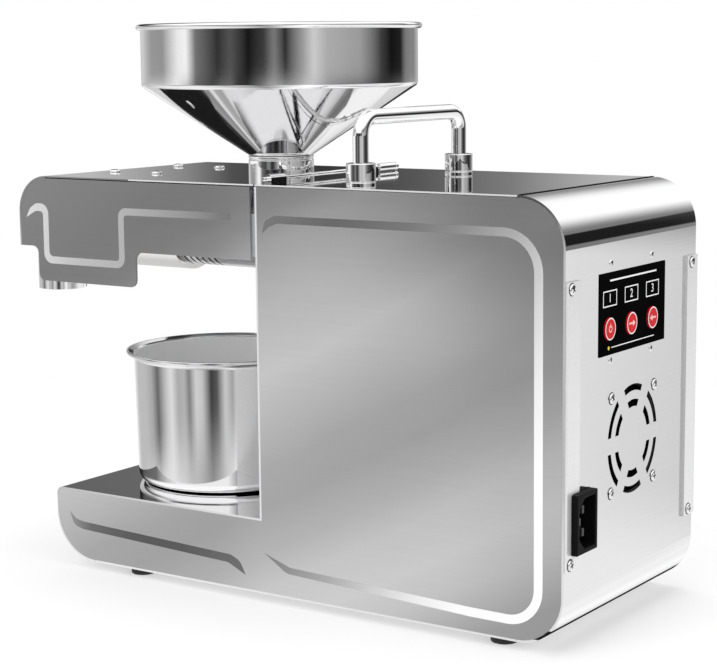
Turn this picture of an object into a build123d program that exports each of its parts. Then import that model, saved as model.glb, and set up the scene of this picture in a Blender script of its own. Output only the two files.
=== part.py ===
from build123d import *
import os
from math import acos, cos, pi, radians, sin, sqrt, tan

# Screw oil press for a kitchen bench, in millimetres.
# The origin is on the floor under the middle of the whole press. +X points to the
# rear end with the buttons, +Z is up, and the left side (-Y) is on the left hand of
# someone who stands behind the press and looks towards its nose.

# Body, base and arm, as seen from the side
WIDTH = 152.0
SIDE_HEIGHT = 224.8
BODY_LENGTH = 186.6
BAY_LENGTH = 151.5
BASE_HEIGHT = 40.2
BODY_CORNER = 25.0
BASE_TOE = 27.0
BASE_EDGE = 3.0
ARM_GAP = 4.5
NOSE_OVERHANG = 22.8
ARM_DEPTH = 40.1
NOSE_CORNER = 20.0
SKIRT_SETBACK = 13.1
SKIRT_LENGTH = 75.0
SKIRT_DROP = 20.1
SKIRT_CORNER = 4.5
SHEET = 1.2
PLATE = 1.2
FOOT_HEIGHT = 6.0
SEAM = 0.4
WRAP_LAP = 25.2

# Clearances, and how far a cutter reaches past what it cuts
RUNNING_FIT = 0.05
CLOSE_FIT = 0.1
BOLT_PLAY = 0.2
LOOSE_FIT = 0.3
OVERCUT = 5.0

# Rails, bars and the barrel's hanger inside the sheets
RAIL_LEG = 6.0
RAIL_THICKNESS = 1.2
RAIL_FRONT_GAP = 16.0
RAIL_REAR_GAP = 6.0
BRACKET_THICKNESS = 1.5
BRACKET_HEIGHT = 23.4
BRACKET_RAISE = 1.8
BRACKET_NOSE_GAP = 21.0
BRACKET_TAIL = 36.0
HANGER_THICKNESS = 2.0
HANGER_SIDE = 8.0
HANGER_LAP = 6.0

# Press barrel and its screw
AXIS_DROP = 34.8
BORE = 33.0
BARREL_WALL = 3.2
BARREL_SETBACK = 12.1
FLANGE_DIAMETER = 66.0
FLANGE_THICKNESS = 6.0
FLANGE_BOLT = 2.5
FLANGE_BOLT_HEAD = 4.4
FLANGE_BOLT_HEAD_HEIGHT = 3.5
FLANGE_BOLT_CIRCLE = 27.0
NECK_THREAD_DIAMETER = 35.0
NECK_THREAD_PLAY = 0.5
NECK_DIAMETER = 26.4
NECK_BORE = 21.0
NECK_INTO_ELBOW = 9.0
CHOKE_LENGTH = 12.0
PORT_BORE = 29.0
PORT_WALL = 2.6
DRIP_SLOTS = 6
DRIP_SLOT_WIDTH = 1.4
DRIP_SLOT_PITCH = 4.6
DRIP_SLOT_RISE = 4.0
DRIP_SETBACK = 83.9
SCREW_CLEARANCE = 0.4
SCREW_COLLAR = 6.0
SCREW_COLLAR_GAP = 6.0
FLIGHT_PITCH = 24.0
FLIGHT_THICKNESS = 4.0
FLIGHT_ROOTING = 1.0
FLIGHT_END_GAP = 4.0
ROOT_START_DIAMETER = 18.0
ROOT_END_DIAMETER = 26.0
CONE_GAP = 3.5
TIP_GAP = 5.0
TIP_LENGTH = 14.0
TAIL_SQUARE = 10.0
TAIL_LENGTH = 14.0
HEATER_SETBACK = 23.9
HEATER_LENGTH = 46.0
HEATER_THICKNESS = 3.1
HEATER_SPLIT = 3.0
HEATER_EDGE = 5.0
HEATER_LUG_LENGTH = 10.0
HEATER_LUG_WIDTH = 9.0
HEATER_LUG_HEIGHT = 7.0
HEATER_BOLT = 1.5
HEATER_BOLT_HEAD = 2.8
HEATER_BOLT_HEAD_HEIGHT = 2.2
HEATER_BOLT_REACH = 7.0
NUT_DIAMETER = 52.0
NUT_WIDTH = 12.0
NUT_GRIPS = 12
NUT_GRIP_RADIUS = 3.0
NUT_GRIP_OFFSET = 1.2

# Residue elbow in front of the nose
ELBOW_DIAMETER = 30.2
ELBOW_WALL = 1.6
ELBOW_BEND = 16.0
ELBOW_AHEAD = 39.4
ELBOW_DROP = 41.0

# Hopper and its collar
HOPPER_AHEAD = 39.0
HOPPER_RADIUS = 79.7
HOPPER_TOP = 86.5
HOPPER_BAND = 35.2
HOPPER_BAND_CORNER = 3.0
HOPPER_BEAD = 1.7
HOPPER_SHEET = 1.2
HOPPER_SLOPE_SHEET = 1.5
HOPPER_STEP = (0.6, 1.6)
THROAT_CORNER = 2.0
NECK_OUTER = 31.8
NECK_DEPTH = 9.0
NECK_SEAT_PLAY = 1.0
COLLAR_DIAMETER = 38.0
COLLAR_HEIGHT = 11.0

# Carrying handle
HANDLE_BEHIND = 50.9
HANDLE_SIDE = 25.6
HANDLE_HEIGHT = 40.0
HANDLE_ROD = 8.5
HANDLE_BEND = 10.0
HANDLE_FOOT = 10.0
HANDLE_COLLAR = 16.0
HANDLE_COLLAR_HEIGHT = 11.5
HANDLE_NUT_RADIUS = 7.5
HANDLE_NUT_HEIGHT = 5.5

# Oil cup
CUP_SHARE = 0.72
CUP_HEIGHT = 79.2
CUP_TOP_RADIUS = 55.0
CUP_BASE_RADIUS = 53.5
CUP_FOOT_CORNER = 6.0
CUP_RIM_RADIUS = 59.6
CUP_RIM_HEIGHT = 2.0
CUP_RIM_FALL = 1.5
CUP_RIM_CORNER = 2.0
CUP_SHEET = 1.0

# Rear end, with its levels measured down from the side plates' top edge
PANEL_WIDTH = 76.0
PANEL_HEIGHT = 42.3
PANEL_MIDDLE = -2.0
PANEL_DROP = 61.4
PANEL_THICKNESS = 0.5
BUTTON_DROP = 69.0
BUTTON_PITCH = 24.8
BUTTON_MIDDLE = -4.9
BUTTON_DIAMETER = 11.8
BUTTON_PROUD = 0.9
BUTTON_TRAVEL = 0.8
BUTTON_FLANGE = 1.3
BUTTON_FLANGE_DEPTH = 2.3
BUTTON_WINDOW = 1.9
BUTTON_STEM = 1.8
STUD_SPAN = 47.2
STUD_MIDDLE = -3.4
STUD_HIGH_DROP = 35.8
STUD_LOW_DROP = 85.6
STUD_HEAD = 1.9
STUD_HEAD_HEIGHT = 0.7
STUD_SPACER = 2.6
STUD_TAIL = 4.0
STRIP_WIDTH = 13.0
STRIP_THICKNESS = 1.5
STRIP_INSET = 0.5
STRIP_HIGH_DROP = 40.5
STRIP_LOW = 38.5
CORNER_SCREW_INSET = 6.0
CORNER_SCREW_MIDDLE = -2.0
CORNER_SCREW_HIGH_DROP = 44.2
CORNER_SCREW_LOW = 42.0
FAN_DROP = 130.8
FAN_SIZE = 60.0
FAN_DEPTH = 15.0
FAN_SCREW_SPAN = 50.0
FAN_WALL = 1.8
FAN_HUB = 12.5
FAN_PLATE = 2.5
FAN_SPOKE = 3.0
FAN_AXLE = 1.5
FAN_AXLE_REAR = 4.0
FAN_ROTOR_REAR = 2.0
FAN_ROTOR_GAP = 0.4
FAN_BLADES = 7
FAN_BLADE_CHORD = 11.5
FAN_BLADE_THICKNESS = 1.2
FAN_BLADE_PITCH = 40.0
OUTER_SLOT_RADII = (25.5, 29.0)
INNER_SLOT_RADII = (17.0, 20.8)
SLOT_SPOKE = 8.5
INLET_WIDTH = 22.1
INLET_HEIGHT = 31.0
INLET_LEVEL = 61.9
INLET_INSET = 16.35
INLET_PROUD = 6.0
INLET_DEPTH = 22.0
INLET_CAVITY = 15.0
INLET_WALL = 2.6
INLET_CLIP = 5.5
INLET_EDGE = 1.0
PIN_OFFSETS = ((1.6, 5.9), (1.6, -5.9), (-2.0, 0.0))
PIN_WIDTH = 2.0
PIN_HEIGHT = 4.0
PIN_SINK = 3.5
PIN_TAIL = 6.0

# Gear train and motor
GEAR_MODULE = 1.2
WHEEL_TEETH = 48
PINION_TEETH = 12
PRESSURE_ANGLE = 25.0
BACKLASH = 0.3
CASE_LENGTH = 40.0
CASE_WIDTH = 74.0
CASE_WALL = 5.0
CASE_SIDE_WALL = 3.4
CASE_TOP_SPACE = 3.8
CASE_LOW_SPACE = 9.6
LID = 5.0
OUTPUT_WHEEL_WIDTH = 14.0
OUTPUT_WHEEL_GAP = 3.6
IDLER_WHEEL_WIDTH = 10.0
IDLER_WHEEL_GAP = 1.4
IDLER_PINION_GAP = 3.0
IDLER_PIN = 8.0
SHAFT_DIAMETER = 16.0
SOCKET_DIAMETER = 22.0
SOCKET_PLAY = 2.0
SOCKET_LEAD = 1.0
JOURNAL_DIAMETER = 10.0
JOURNAL_END = 0.5
WHEEL_BORE_PLAY = 0.02
FRONT_BEARING = 17.0
REAR_BEARING = 9.5
WASHER_EDGE = 1.0
MOTOR_DIAMETER = 72.0
MOTOR_LENGTH = 86.0
MOTOR_SHELL = 2.5
MOTOR_SHAFT = 8.0
MOTOR_PLATE = 3.0
MOTOR_BOSS = 9.0
MOTOR_BOSS_HEIGHT = 4.0
MAGNET_THICKNESS = 5.0
MAGNET_EDGE = 16.0
MAGNET_FRONT = 12.0
MAGNET_REAR = 22.0
ARMATURE_GAP = 1.0
ARMATURE_FRONT = 16.0
ARMATURE_REAR = 26.0
COMMUTATOR_RADIUS = 12.0
COMMUTATOR_GAP = 3.0
COMMUTATOR_REAR = 9.0

# Boards
BOARD_SETBACK = 12.4
BOARD_THICKNESS = 1.6
BOARD_LEFT = 7.0
BOARD_RIGHT = 9.0
BOARD_LOW = 6.0
BOARD_HIGH = 5.0
SWITCH_SIZE = 6.0
SWITCH_HEIGHT = 4.0
MAINS_BOARD_SIZE = (88.0, 44.0)
MAINS_BOARD_PLACE = (34.0, 8.0)
MAINS_BOARD_RAISE = 6.0
PILLAR_RADIUS = 2.5
PILLAR_INSET = 5.0
TRANSFORMER_SIZE = (28.0, 28.0, 24.0)
TRANSFORMER_PLACE = (50.0, 6.0)
RELAY_SIZE = (17.0, 16.0, 15.0)
RELAY_PLACES = (4.0, 24.0)
CAPACITOR_RADIUS = 6.0
CAPACITOR_HEIGHT = 22.0
CAPACITOR_PLACE = 36.0

# Feet, screws and the cover lock rod
FOOT_DIAMETER = 14.6
FOOT_REAR = 39.2
FOOT_SETBACK = 54.9
FOOT_INSET = 11.8
FOOT_FLOOR = 1.2
FOOT_SCREW = 2.0
FOOT_SCREW_HEAD = 3.8
FOOT_SCREW_LENGTH = 4.4
SMALL_SHANK = 1.5
SMALL_HEAD = 3.4
SMALL_HEAD_HEIGHT = 1.8
REAR_HEAD = 2.9
REAR_HEAD_HEIGHT = 1.3
FAN_SHANK = 1.9
FAN_SCREW_LENGTH = 10.0
ARM_SCREW_LENGTH = 6.0
CORNER_SCREW_LENGTH = 8.0
ARM_SCREW_SETBACK = 49.6
ARM_SCREW_LENGTH_SPAN = 32.5
ARM_SCREW_WIDTH_SPAN = 59.4
LOCK_ROD_SETBACK = 2.0
LOCK_ROD_DIAMETER = 2.2
LOCK_GRIP_DIAMETER = 4.7
LOCK_GRIP_LENGTH = 20.0
LOCK_ROD_LEFT_INSET = 4.0
LOCK_ROD_RIGHT_INSET = 16.4
LOCK_GUIDE_RADIUS = 2.4
LOCK_GUIDE_LENGTHS = (14.0, 6.0)
LOCK_GUIDE_GAPS = (4.0, 3.0)

# Places worked out from the sizes above
BASE_LENGTH = BODY_LENGTH + BAY_LENGTH
NOSE_LENGTH = BASE_LENGTH + NOSE_OVERHANG
ELBOW_REACH = NOSE_LENGTH + ELBOW_AHEAD
FRONT_REACH = ELBOW_REACH + ELBOW_DIAMETER / 2
REAR_X = (FRONT_REACH - INLET_PROUD) / 2
PLATE_BOTTOM = FOOT_HEIGHT
PLATE_TOP = PLATE_BOTTOM + SIDE_HEIGHT
BASE_TOP = PLATE_BOTTOM + BASE_HEIGHT
COVER_TOP = PLATE_TOP + SHEET
PLATFORM_TOP = BASE_TOP + SHEET
ARM_BOTTOM = PLATE_TOP - ARM_DEPTH
SKIRT_BOTTOM = ARM_BOTTOM - SKIRT_DROP
AXIS_Z = PLATE_TOP - AXIS_DROP
HALF = WIDTH / 2
INNER_HALF = HALF - PLATE
BORE_RADIUS = BORE / 2
BARREL_RADIUS = BORE_RADIUS + BARREL_WALL
HEATER_RADIUS = BARREL_RADIUS + LOOSE_FIT / 2
FLANGE_REAR = BODY_LENGTH + SHEET
FLANGE_FRONT = FLANGE_REAR + FLANGE_THICKNESS
BARREL_FRONT = NOSE_LENGTH - BARREL_SETBACK
NUT_REAR = NOSE_LENGTH + SHEET
NUT_FRONT = NUT_REAR + NUT_WIDTH
ELBOW_START = NUT_FRONT + LOOSE_FIT
NECK_FRONT = ELBOW_START + NECK_INTO_ELBOW
HEATER_FRONT = NOSE_LENGTH - HEATER_SETBACK
HEATER_REAR = HEATER_FRONT - HEATER_LENGTH
DRIP_CENTRE = NOSE_LENGTH - DRIP_SETBACK
SCREW_REAR = FLANGE_REAR + SCREW_COLLAR
HOPPER_CENTRE = BODY_LENGTH + HOPPER_AHEAD
HOPPER_SEAT = COVER_TOP + COLLAR_HEIGHT
HANDLE_PLACE = BODY_LENGTH - HANDLE_BEHIND
HANDLE_HALF = HALF - HANDLE_SIDE
CUP_CENTRE = BODY_LENGTH + CUP_RIM_RADIUS + CUP_SHARE * (BAY_LENGTH - 2 * CUP_RIM_RADIUS)
CENTRE_DISTANCE = GEAR_MODULE * (WHEEL_TEETH + PINION_TEETH) / 2
IDLER_Z = AXIS_Z - CENTRE_DISTANCE
MOTOR_Z = IDLER_Z - CENTRE_DISTANCE
WHEEL_OUTER = GEAR_MODULE * (WHEEL_TEETH + 2) / 2
PINION_OUTER = GEAR_MODULE * (PINION_TEETH + 2) / 2
CASE_FRONT = BODY_LENGTH
CASE_INSIDE_FRONT = CASE_FRONT - CASE_WALL
CASE_INSIDE_REAR = CASE_FRONT - CASE_LENGTH
LID_REAR = CASE_INSIDE_REAR - LID
OUTPUT_WHEEL_FRONT = CASE_INSIDE_FRONT - OUTPUT_WHEEL_GAP
OUTPUT_WHEEL_REAR = OUTPUT_WHEEL_FRONT - OUTPUT_WHEEL_WIDTH
IDLER_WHEEL_REAR = CASE_INSIDE_REAR + IDLER_WHEEL_GAP
IDLER_WHEEL_FRONT = IDLER_WHEEL_REAR + IDLER_WHEEL_WIDTH
IDLER_PINION_FRONT = CASE_INSIDE_FRONT - IDLER_PINION_GAP
WRAP_FACE = REAR_X + SHEET
PANEL_LEVEL = PLATE_TOP - PANEL_DROP
BUTTON_LEVEL = PLATE_TOP - BUTTON_DROP
BUTTON_PLACES = [BUTTON_MIDDLE + step * BUTTON_PITCH for step in (-1, 0, 1)]
FAN_LEVEL = PLATE_TOP - FAN_DROP
INLET_MIDDLE = INLET_INSET - HALF
LOCK_ROD_LEFT = LOCK_ROD_LEFT_INSET - HALF
LOCK_ROD_RIGHT = HALF - LOCK_ROD_RIGHT_INSET
ARM_SCREW_CENTRE = NOSE_LENGTH - ARM_SCREW_SETBACK


def fore(distance):
    """X of a place that lies this far in front of the rear plane."""
    return REAR_X - distance


def up(height):
    """Z of a place that lies this far above the side plates' bottom edge."""
    return PLATE_BOTTOM + height


def down(drop):
    """Z of a place that lies this far below the side plates' top edge."""
    return PLATE_TOP - drop


def outline(*corners):
    """Flat closed face through corners (u, v) or (u, v, radius)."""
    points = [Vector(corner[0], corner[1]) for corner in corners]
    radii = [corner[2] if len(corner) > 2 else 0 for corner in corners]
    entries, exits, middles = [], [], []
    for index, point in enumerate(points):
        before = (points[index - 1] - point).normalized()
        after = (points[(index + 1) % len(points)] - point).normalized()
        radius = radii[index]
        if radius == 0:
            entries.append(point)
            exits.append(point)
            middles.append(None)
            continue
        half_angle = acos(before.dot(after)) / 2
        inward = (before + after).normalized()
        entries.append(point + before * (radius / tan(half_angle)))
        exits.append(point + after * (radius / tan(half_angle)))
        middles.append(point + inward * (radius / sin(half_angle) - radius))
    edges = []
    for index in range(len(points)):
        if middles[index] is not None:
            edges.append(ThreePointArc(entries[index], middles[index], exits[index]))
        edges.append(Line(exits[index], entries[(index + 1) % len(points)]))
    return make_face(edges)


def side_slab(face, y_low, y_high):
    """Solid between two Y planes from a face whose axes are X and Z."""
    return Pos(0, y_high, 0) * extrude(Plane.XZ * face, y_high - y_low)


def block(x_limits, y_limits, z_limits):
    """Box between three pairs of limits, in any order."""
    sizes = [abs(high - low) for low, high in (x_limits, y_limits, z_limits)]
    middles = [(low + high) / 2 for low, high in (x_limits, y_limits, z_limits)]
    return Pos(*middles) * Box(*sizes)


def rod_x(radius, x_one, x_two, y, z):
    """Cylinder along X."""
    return Pos((x_one + x_two) / 2, y, z) * Rot(0, 90, 0) * Cylinder(radius, abs(x_two - x_one))


def rod_y(radius, y_one, y_two, x, z):
    """Cylinder along Y."""
    return Pos(x, (y_one + y_two) / 2, z) * Rot(90, 0, 0) * Cylinder(radius, abs(y_two - y_one))


def rod_z(radius, z_one, z_two, x, y):
    """Cylinder along Z."""
    return Pos(x, y, (z_one + z_two) / 2) * Cylinder(radius, abs(z_two - z_one))


def turned_x(z_axis, *points):
    """Solid of revolution about an X line, from (distance in front of the rear, radius)."""
    face = outline(*[(fore(point[0]), z_axis + point[1], *point[2:]) for point in points])
    return revolve(Plane.XZ * face, Axis((0, 0, z_axis), (1, 0, 0)))


def turned_z(x, y, *points):
    """Solid of revolution about a vertical line, from (radius, height)."""
    return Pos(x, y, 0) * revolve(Plane.XZ * outline(*points), Axis.Z)


def hole_x(radius, x_one, x_two, y, z):
    """Cutter along X that reaches past both ends of what it cuts."""
    low, high = sorted((x_one, x_two))
    return rod_x(radius, low - OVERCUT, high + OVERCUT, y, z)


def hole_z(radius, z_one, z_two, x, y):
    """Cutter along Z that reaches past both ends of what it cuts."""
    low, high = sorted((z_one, z_two))
    return rod_z(radius, low - OVERCUT, high + OVERCUT, x, y)


def ring_x(z_axis, inner, outer, front, rear, y=0.0):
    """Flat ring or bush about an X line."""
    ring = rod_x(outer, fore(front), fore(rear), y, z_axis)
    return ring - hole_x(inner, fore(front), fore(rear), y, z_axis)


def group(pieces):
    """Several separate solids as one compound."""
    return Compound([solid for piece in pieces for solid in piece.solids()])


def body_outline(grow=0.0):
    """Side view of body and base, grown outwards by a sheet's thickness."""
    rear, front, toe = REAR_X + grow, fore(BODY_LENGTH) - grow, fore(BASE_LENGTH) - grow
    return outline(
        (rear, PLATE_BOTTOM - grow, BODY_CORNER + grow),
        (rear, PLATE_TOP + grow, BODY_CORNER + grow),
        (front, PLATE_TOP + grow),
        (front, BASE_TOP + grow),
        (toe, BASE_TOP + grow, BASE_EDGE + grow),
        (toe, PLATE_BOTTOM - grow, BASE_TOE + grow),
    )


def arm_outline(rear, grow=0.0):
    """Side view of the arm as far back as rear, with its skirt round the barrel."""
    nose = fore(NOSE_LENGTH)
    skirt_front = nose + SKIRT_SETBACK
    skirt_rear = skirt_front + SKIRT_LENGTH
    return outline(
        (nose - grow, PLATE_TOP + grow, NOSE_CORNER + grow),
        (rear, PLATE_TOP + grow),
        (rear, ARM_BOTTOM),
        (skirt_rear, ARM_BOTTOM, SKIRT_CORNER),
        (skirt_rear, SKIRT_BOTTOM, SKIRT_CORNER),
        (skirt_front, SKIRT_BOTTOM, SKIRT_CORNER),
        (skirt_front, ARM_BOTTOM, SKIRT_CORNER),
        (nose - grow, ARM_BOTTOM),
    )


def region(x_limits, z_limits):
    """Rectangle in the side view."""
    return outline(
        (x_limits[0], z_limits[0]),
        (x_limits[1], z_limits[0]),
        (x_limits[1], z_limits[1]),
        (x_limits[0], z_limits[1]),
    )


def gear(teeth, width, front, z_axis, bore, turn):
    """Spur gear about an X line; turn is in teeth, and sets which part faces up."""
    angle = radians(PRESSURE_ANGLE)
    pitch_radius = GEAR_MODULE * teeth / 2
    base_radius = pitch_radius * cos(angle)
    radii = (pitch_radius - 1.2 * GEAR_MODULE, pitch_radius, pitch_radius + GEAR_MODULE)

    def half_tooth(radius):
        slope = acos(min(1.0, base_radius / max(radius, base_radius)))
        rolled = (tan(angle) - angle) - (tan(slope) - slope)
        return pi / (2 * teeth) - BACKLASH / (4 * pitch_radius) + rolled

    points = []
    for tooth in range(teeth):
        middle = 2 * pi * (tooth + turn) / teeth
        flank = [(radius, -half_tooth(radius)) for radius in radii]
        flank += [(radius, half_tooth(radius)) for radius in reversed(radii)]
        points += [(r * sin(middle + a), r * cos(middle + a)) for r, a in flank]
    face = make_face(Polyline(*points, close=True)) - Circle(bore)
    return Pos(fore(front), 0, z_axis) * extrude(Plane.YZ * face, width)


def side_plates():
    """The two L-shaped plates that are the sides of body and base."""
    plate = body_outline()
    return {
        "left_side_plate": side_slab(plate, -HALF, -INNER_HALF),
        "right_side_plate": side_slab(plate, INNER_HALF, HALF),
    }


def arm_plates():
    """The two plates that are the sides of the arm, a gap in front of the body."""
    plate = arm_outline(fore(BODY_LENGTH + ARM_GAP))
    return {
        "arm_left_plate": side_slab(plate, -HALF, -INNER_HALF),
        "arm_right_plate": side_slab(plate, INNER_HALF, HALF),
    }


def fan_slots():
    """Cutter for the two rings of six slots in front of the fan."""
    outer = Circle(OUTER_SLOT_RADII[1]) - Circle(OUTER_SLOT_RADII[0])
    inner = Circle(INNER_SLOT_RADII[1]) - Circle(INNER_SLOT_RADII[0])
    rings = outer + inner
    for spoke in range(3):
        rings -= Rot(0, 0, 60 * spoke) * Rectangle(3 * OUTER_SLOT_RADII[1], SLOT_SPOKE)
    return Pos(REAR_X - SHEET, 0, FAN_LEVEL) * extrude(Plane.YZ * rings, 4 * SHEET)


def inlet_outline(grow, clip):
    """Face of the mains inlet, with its two corners on the left clipped."""
    half_width, half_height = INLET_WIDTH / 2 + grow, INLET_HEIGHT / 2 + grow
    return outline(
        (half_width, -half_height, INLET_EDGE),
        (half_width, half_height, INLET_EDGE),
        (clip - half_width, half_height),
        (-half_width, half_height - clip),
        (-half_width, clip - half_height),
        (clip - half_width, -half_height),
    )


def inlet_prism(grow, x_low, x_high, clip=INLET_EDGE):
    """Prism of the inlet's outline between two X planes."""
    face = inlet_outline(grow, clip)
    return Pos(x_low, INLET_MIDDLE, up(INLET_LEVEL)) * extrude(Plane.YZ * face, x_high - x_low)


def corner_places(half_u, u_middle, v_pair):
    """Four places at plus and minus half_u round a middle, on two levels."""
    return [(u_middle + sign * half_u, v) for sign in (-1, 1) for v in v_pair]


STUD_PLACES = corner_places(STUD_SPAN / 2, STUD_MIDDLE, (down(STUD_LOW_DROP), down(STUD_HIGH_DROP)))
CORNER_PLACES = corner_places(
    HALF - CORNER_SCREW_INSET,
    CORNER_SCREW_MIDDLE,
    (up(CORNER_SCREW_LOW), down(CORNER_SCREW_HIGH_DROP)),
)
FAN_SCREW_PLACES = corner_places(
    FAN_SCREW_SPAN / 2, 0.0, (FAN_LEVEL - FAN_SCREW_SPAN / 2, FAN_LEVEL + FAN_SCREW_SPAN / 2)
)
ARM_SCREW_PLACES = corner_places(
    ARM_SCREW_LENGTH_SPAN / 2,
    fore(ARM_SCREW_CENTRE),
    (-ARM_SCREW_WIDTH_SPAN / 2, ARM_SCREW_WIDTH_SPAN / 2),
)
FOOT_PLACES = [
    (fore(place), side * (HALF - FOOT_INSET))
    for place in (FOOT_REAR, BASE_LENGTH - FOOT_SETBACK)
    for side in (-1, 1)
]
HANDLE_PLACES = [(fore(HANDLE_PLACE), side * HANDLE_HALF) for side in (-1, 1)]


def screw_x(y, z, seat, shank, length):
    """Pan-head screw of the rear end, with its head's underside at x = seat."""
    head = rod_x(REAR_HEAD, seat, seat + REAR_HEAD_HEIGHT, y, z)
    return head + rod_x(shank, seat - length, seat, y, z)


def screw_z(x, y, seat, shank, head, length, head_height=SMALL_HEAD_HEIGHT):
    """Pan-head screw that points down, with its head's underside at z = seat."""
    return rod_z(head, seat, seat + head_height, x, y) + rod_z(shank, seat - length, seat, x, y)


def bracket_bar(side, play=0.0):
    """Flat bar that ties an arm plate to the side plate behind it."""
    return block(
        (fore(NOSE_LENGTH - BRACKET_NOSE_GAP), fore(BODY_LENGTH - BRACKET_TAIL)),
        (side * (INNER_HALF - BRACKET_THICKNESS - play), side * INNER_HALF),
        (ARM_BOTTOM + BRACKET_RAISE - play, ARM_BOTTOM + BRACKET_RAISE + BRACKET_HEIGHT + play),
    )


def covers():
    """The bent sheets round the edges of body and base."""
    shell = body_outline(SHEET) - body_outline()
    seam_rear = fore(WRAP_LAP)
    front_face = fore(BODY_LENGTH)
    toe_end = fore(BASE_LENGTH - BASE_TOE)
    far_up, far_down = PLATE_TOP + 2 * SHEET, PLATE_BOTTOM - 2 * SHEET
    past_front = front_face - OVERCUT
    regions = {
        "rear_wrap": region((seam_rear, REAR_X + OVERCUT), (far_down, far_up)),
        "body_top_plate": region((past_front, seam_rear - SEAM), (PLATE_TOP, far_up)),
        "front_wall": region((past_front, front_face), (PLATFORM_TOP, PLATE_TOP)),
        "floor_pan": region((toe_end + SEAM, seam_rear - SEAM), (far_down, PLATE_BOTTOM)),
    }
    parts = {
        name: side_slab(shell & limits, -HALF, HALF) for name, limits in regions.items()
    }
    lower_front = region((fore(BASE_LENGTH) - OVERCUT, front_face), (far_down, PLATFORM_TOP))
    under = region((toe_end, front_face + OVERCUT), (far_down, PLATE_BOTTOM))
    platform = (shell & lower_front) - under
    parts["platform_cover"] = side_slab(platform, -HALF, HALF)
    return parts


def rear_wrap(blank):
    """The wrap with its slots, its windows and its screw holes."""
    wrap = blank - fan_slots() - inlet_prism(LOOSE_FIT, REAR_X - OVERCUT, WRAP_FACE + OVERCUT)
    holes = [(BUTTON_DIAMETER / 2 + BUTTON_WINDOW, y, BUTTON_LEVEL) for y in BUTTON_PLACES]
    holes += [(SMALL_SHANK + BOLT_PLAY, y, z) for y, z in STUD_PLACES + CORNER_PLACES]
    holes += [(FAN_SHANK + BOLT_PLAY, y, z) for y, z in FAN_SCREW_PLACES]
    for radius, y, z in holes:
        wrap -= hole_x(radius, REAR_X, WRAP_FACE, y, z)
    return wrap


def front_wall(blank):
    """The wall between body and arm, open for the drive and for the two arm bars."""
    rear, front = fore(BODY_LENGTH), fore(FLANGE_REAR)
    wall = blank - hole_x(SOCKET_DIAMETER / 2 + SOCKET_PLAY, rear, front, 0, AXIS_Z)
    for y, z in flange_bolt_places():
        wall -= hole_x(FLANGE_BOLT + BOLT_PLAY, rear, front, y, z)
    for side in (-1, 1):
        wall -= bracket_bar(side, BOLT_PLAY)
    return wall


def flange_bolt_places():
    """Places (y, z) of the four bolts through the barrel's flange."""
    reach = FLANGE_BOLT_CIRCLE / sqrt(2)
    return [(sign_y * reach, AXIS_Z + sign_z * reach) for sign_y in (-1, 1) for sign_z in (-1, 1)]


def body_shell():
    """Every sheet of the body and base, with the strips and rails that hold them."""
    parts = side_plates()
    parts.update(covers())
    parts["rear_wrap"] = rear_wrap(parts["rear_wrap"])
    parts["front_wall"] = front_wall(parts["front_wall"])
    for x, y in HANDLE_PLACES:
        parts["body_top_plate"] -= hole_z(HANDLE_ROD / 2 + BOLT_PLAY, PLATE_TOP, COVER_TOP, x, y)
    for x, y in FOOT_PLACES:
        parts["floor_pan"] -= hole_z(FOOT_SCREW + BOLT_PLAY, PLATE_BOTTOM - SHEET, PLATE_BOTTOM, x, y)
    parts["rear_edge_strips"] = group([edge_strip(side) for side in (-1, 1)])
    parts["corner_rails"] = group([rail(side, top) for side in (-1, 1) for top in (False, True)])
    return parts


def edge_strip(side):
    """Narrow strip under two corner screws, cut away round the mains inlet."""
    outer = HALF - STRIP_INSET
    strip = block(
        (WRAP_FACE, WRAP_FACE + STRIP_THICKNESS),
        (side * (outer - STRIP_WIDTH), side * outer),
        (up(STRIP_LOW), down(STRIP_HIGH_DROP)),
    )
    for y, z in CORNER_PLACES:
        strip -= hole_x(SMALL_SHANK + BOLT_PLAY, WRAP_FACE, WRAP_FACE + STRIP_THICKNESS, y, z)
    return strip - inlet_prism(LOOSE_FIT, REAR_X - OVERCUT, WRAP_FACE + OVERCUT)


def rail(side, at_top):
    """Angle bar that holds a side plate to the top plate or to the floor pan."""
    x_limits = (fore(BODY_LENGTH - RAIL_FRONT_GAP), fore(WRAP_LAP + RAIL_REAR_GAP))
    sheet_face = PLATE_TOP if at_top else PLATE_BOTTOM
    inward = -1 if at_top else 1
    upright = block(
        x_limits,
        (side * INNER_HALF, side * (INNER_HALF - RAIL_THICKNESS)),
        (sheet_face, sheet_face + inward * RAIL_LEG),
    )
    flat = block(
        x_limits,
        (side * INNER_HALF, side * (INNER_HALF - RAIL_LEG)),
        (sheet_face, sheet_face + inward * RAIL_THICKNESS),
    )
    return upright + flat


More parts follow.
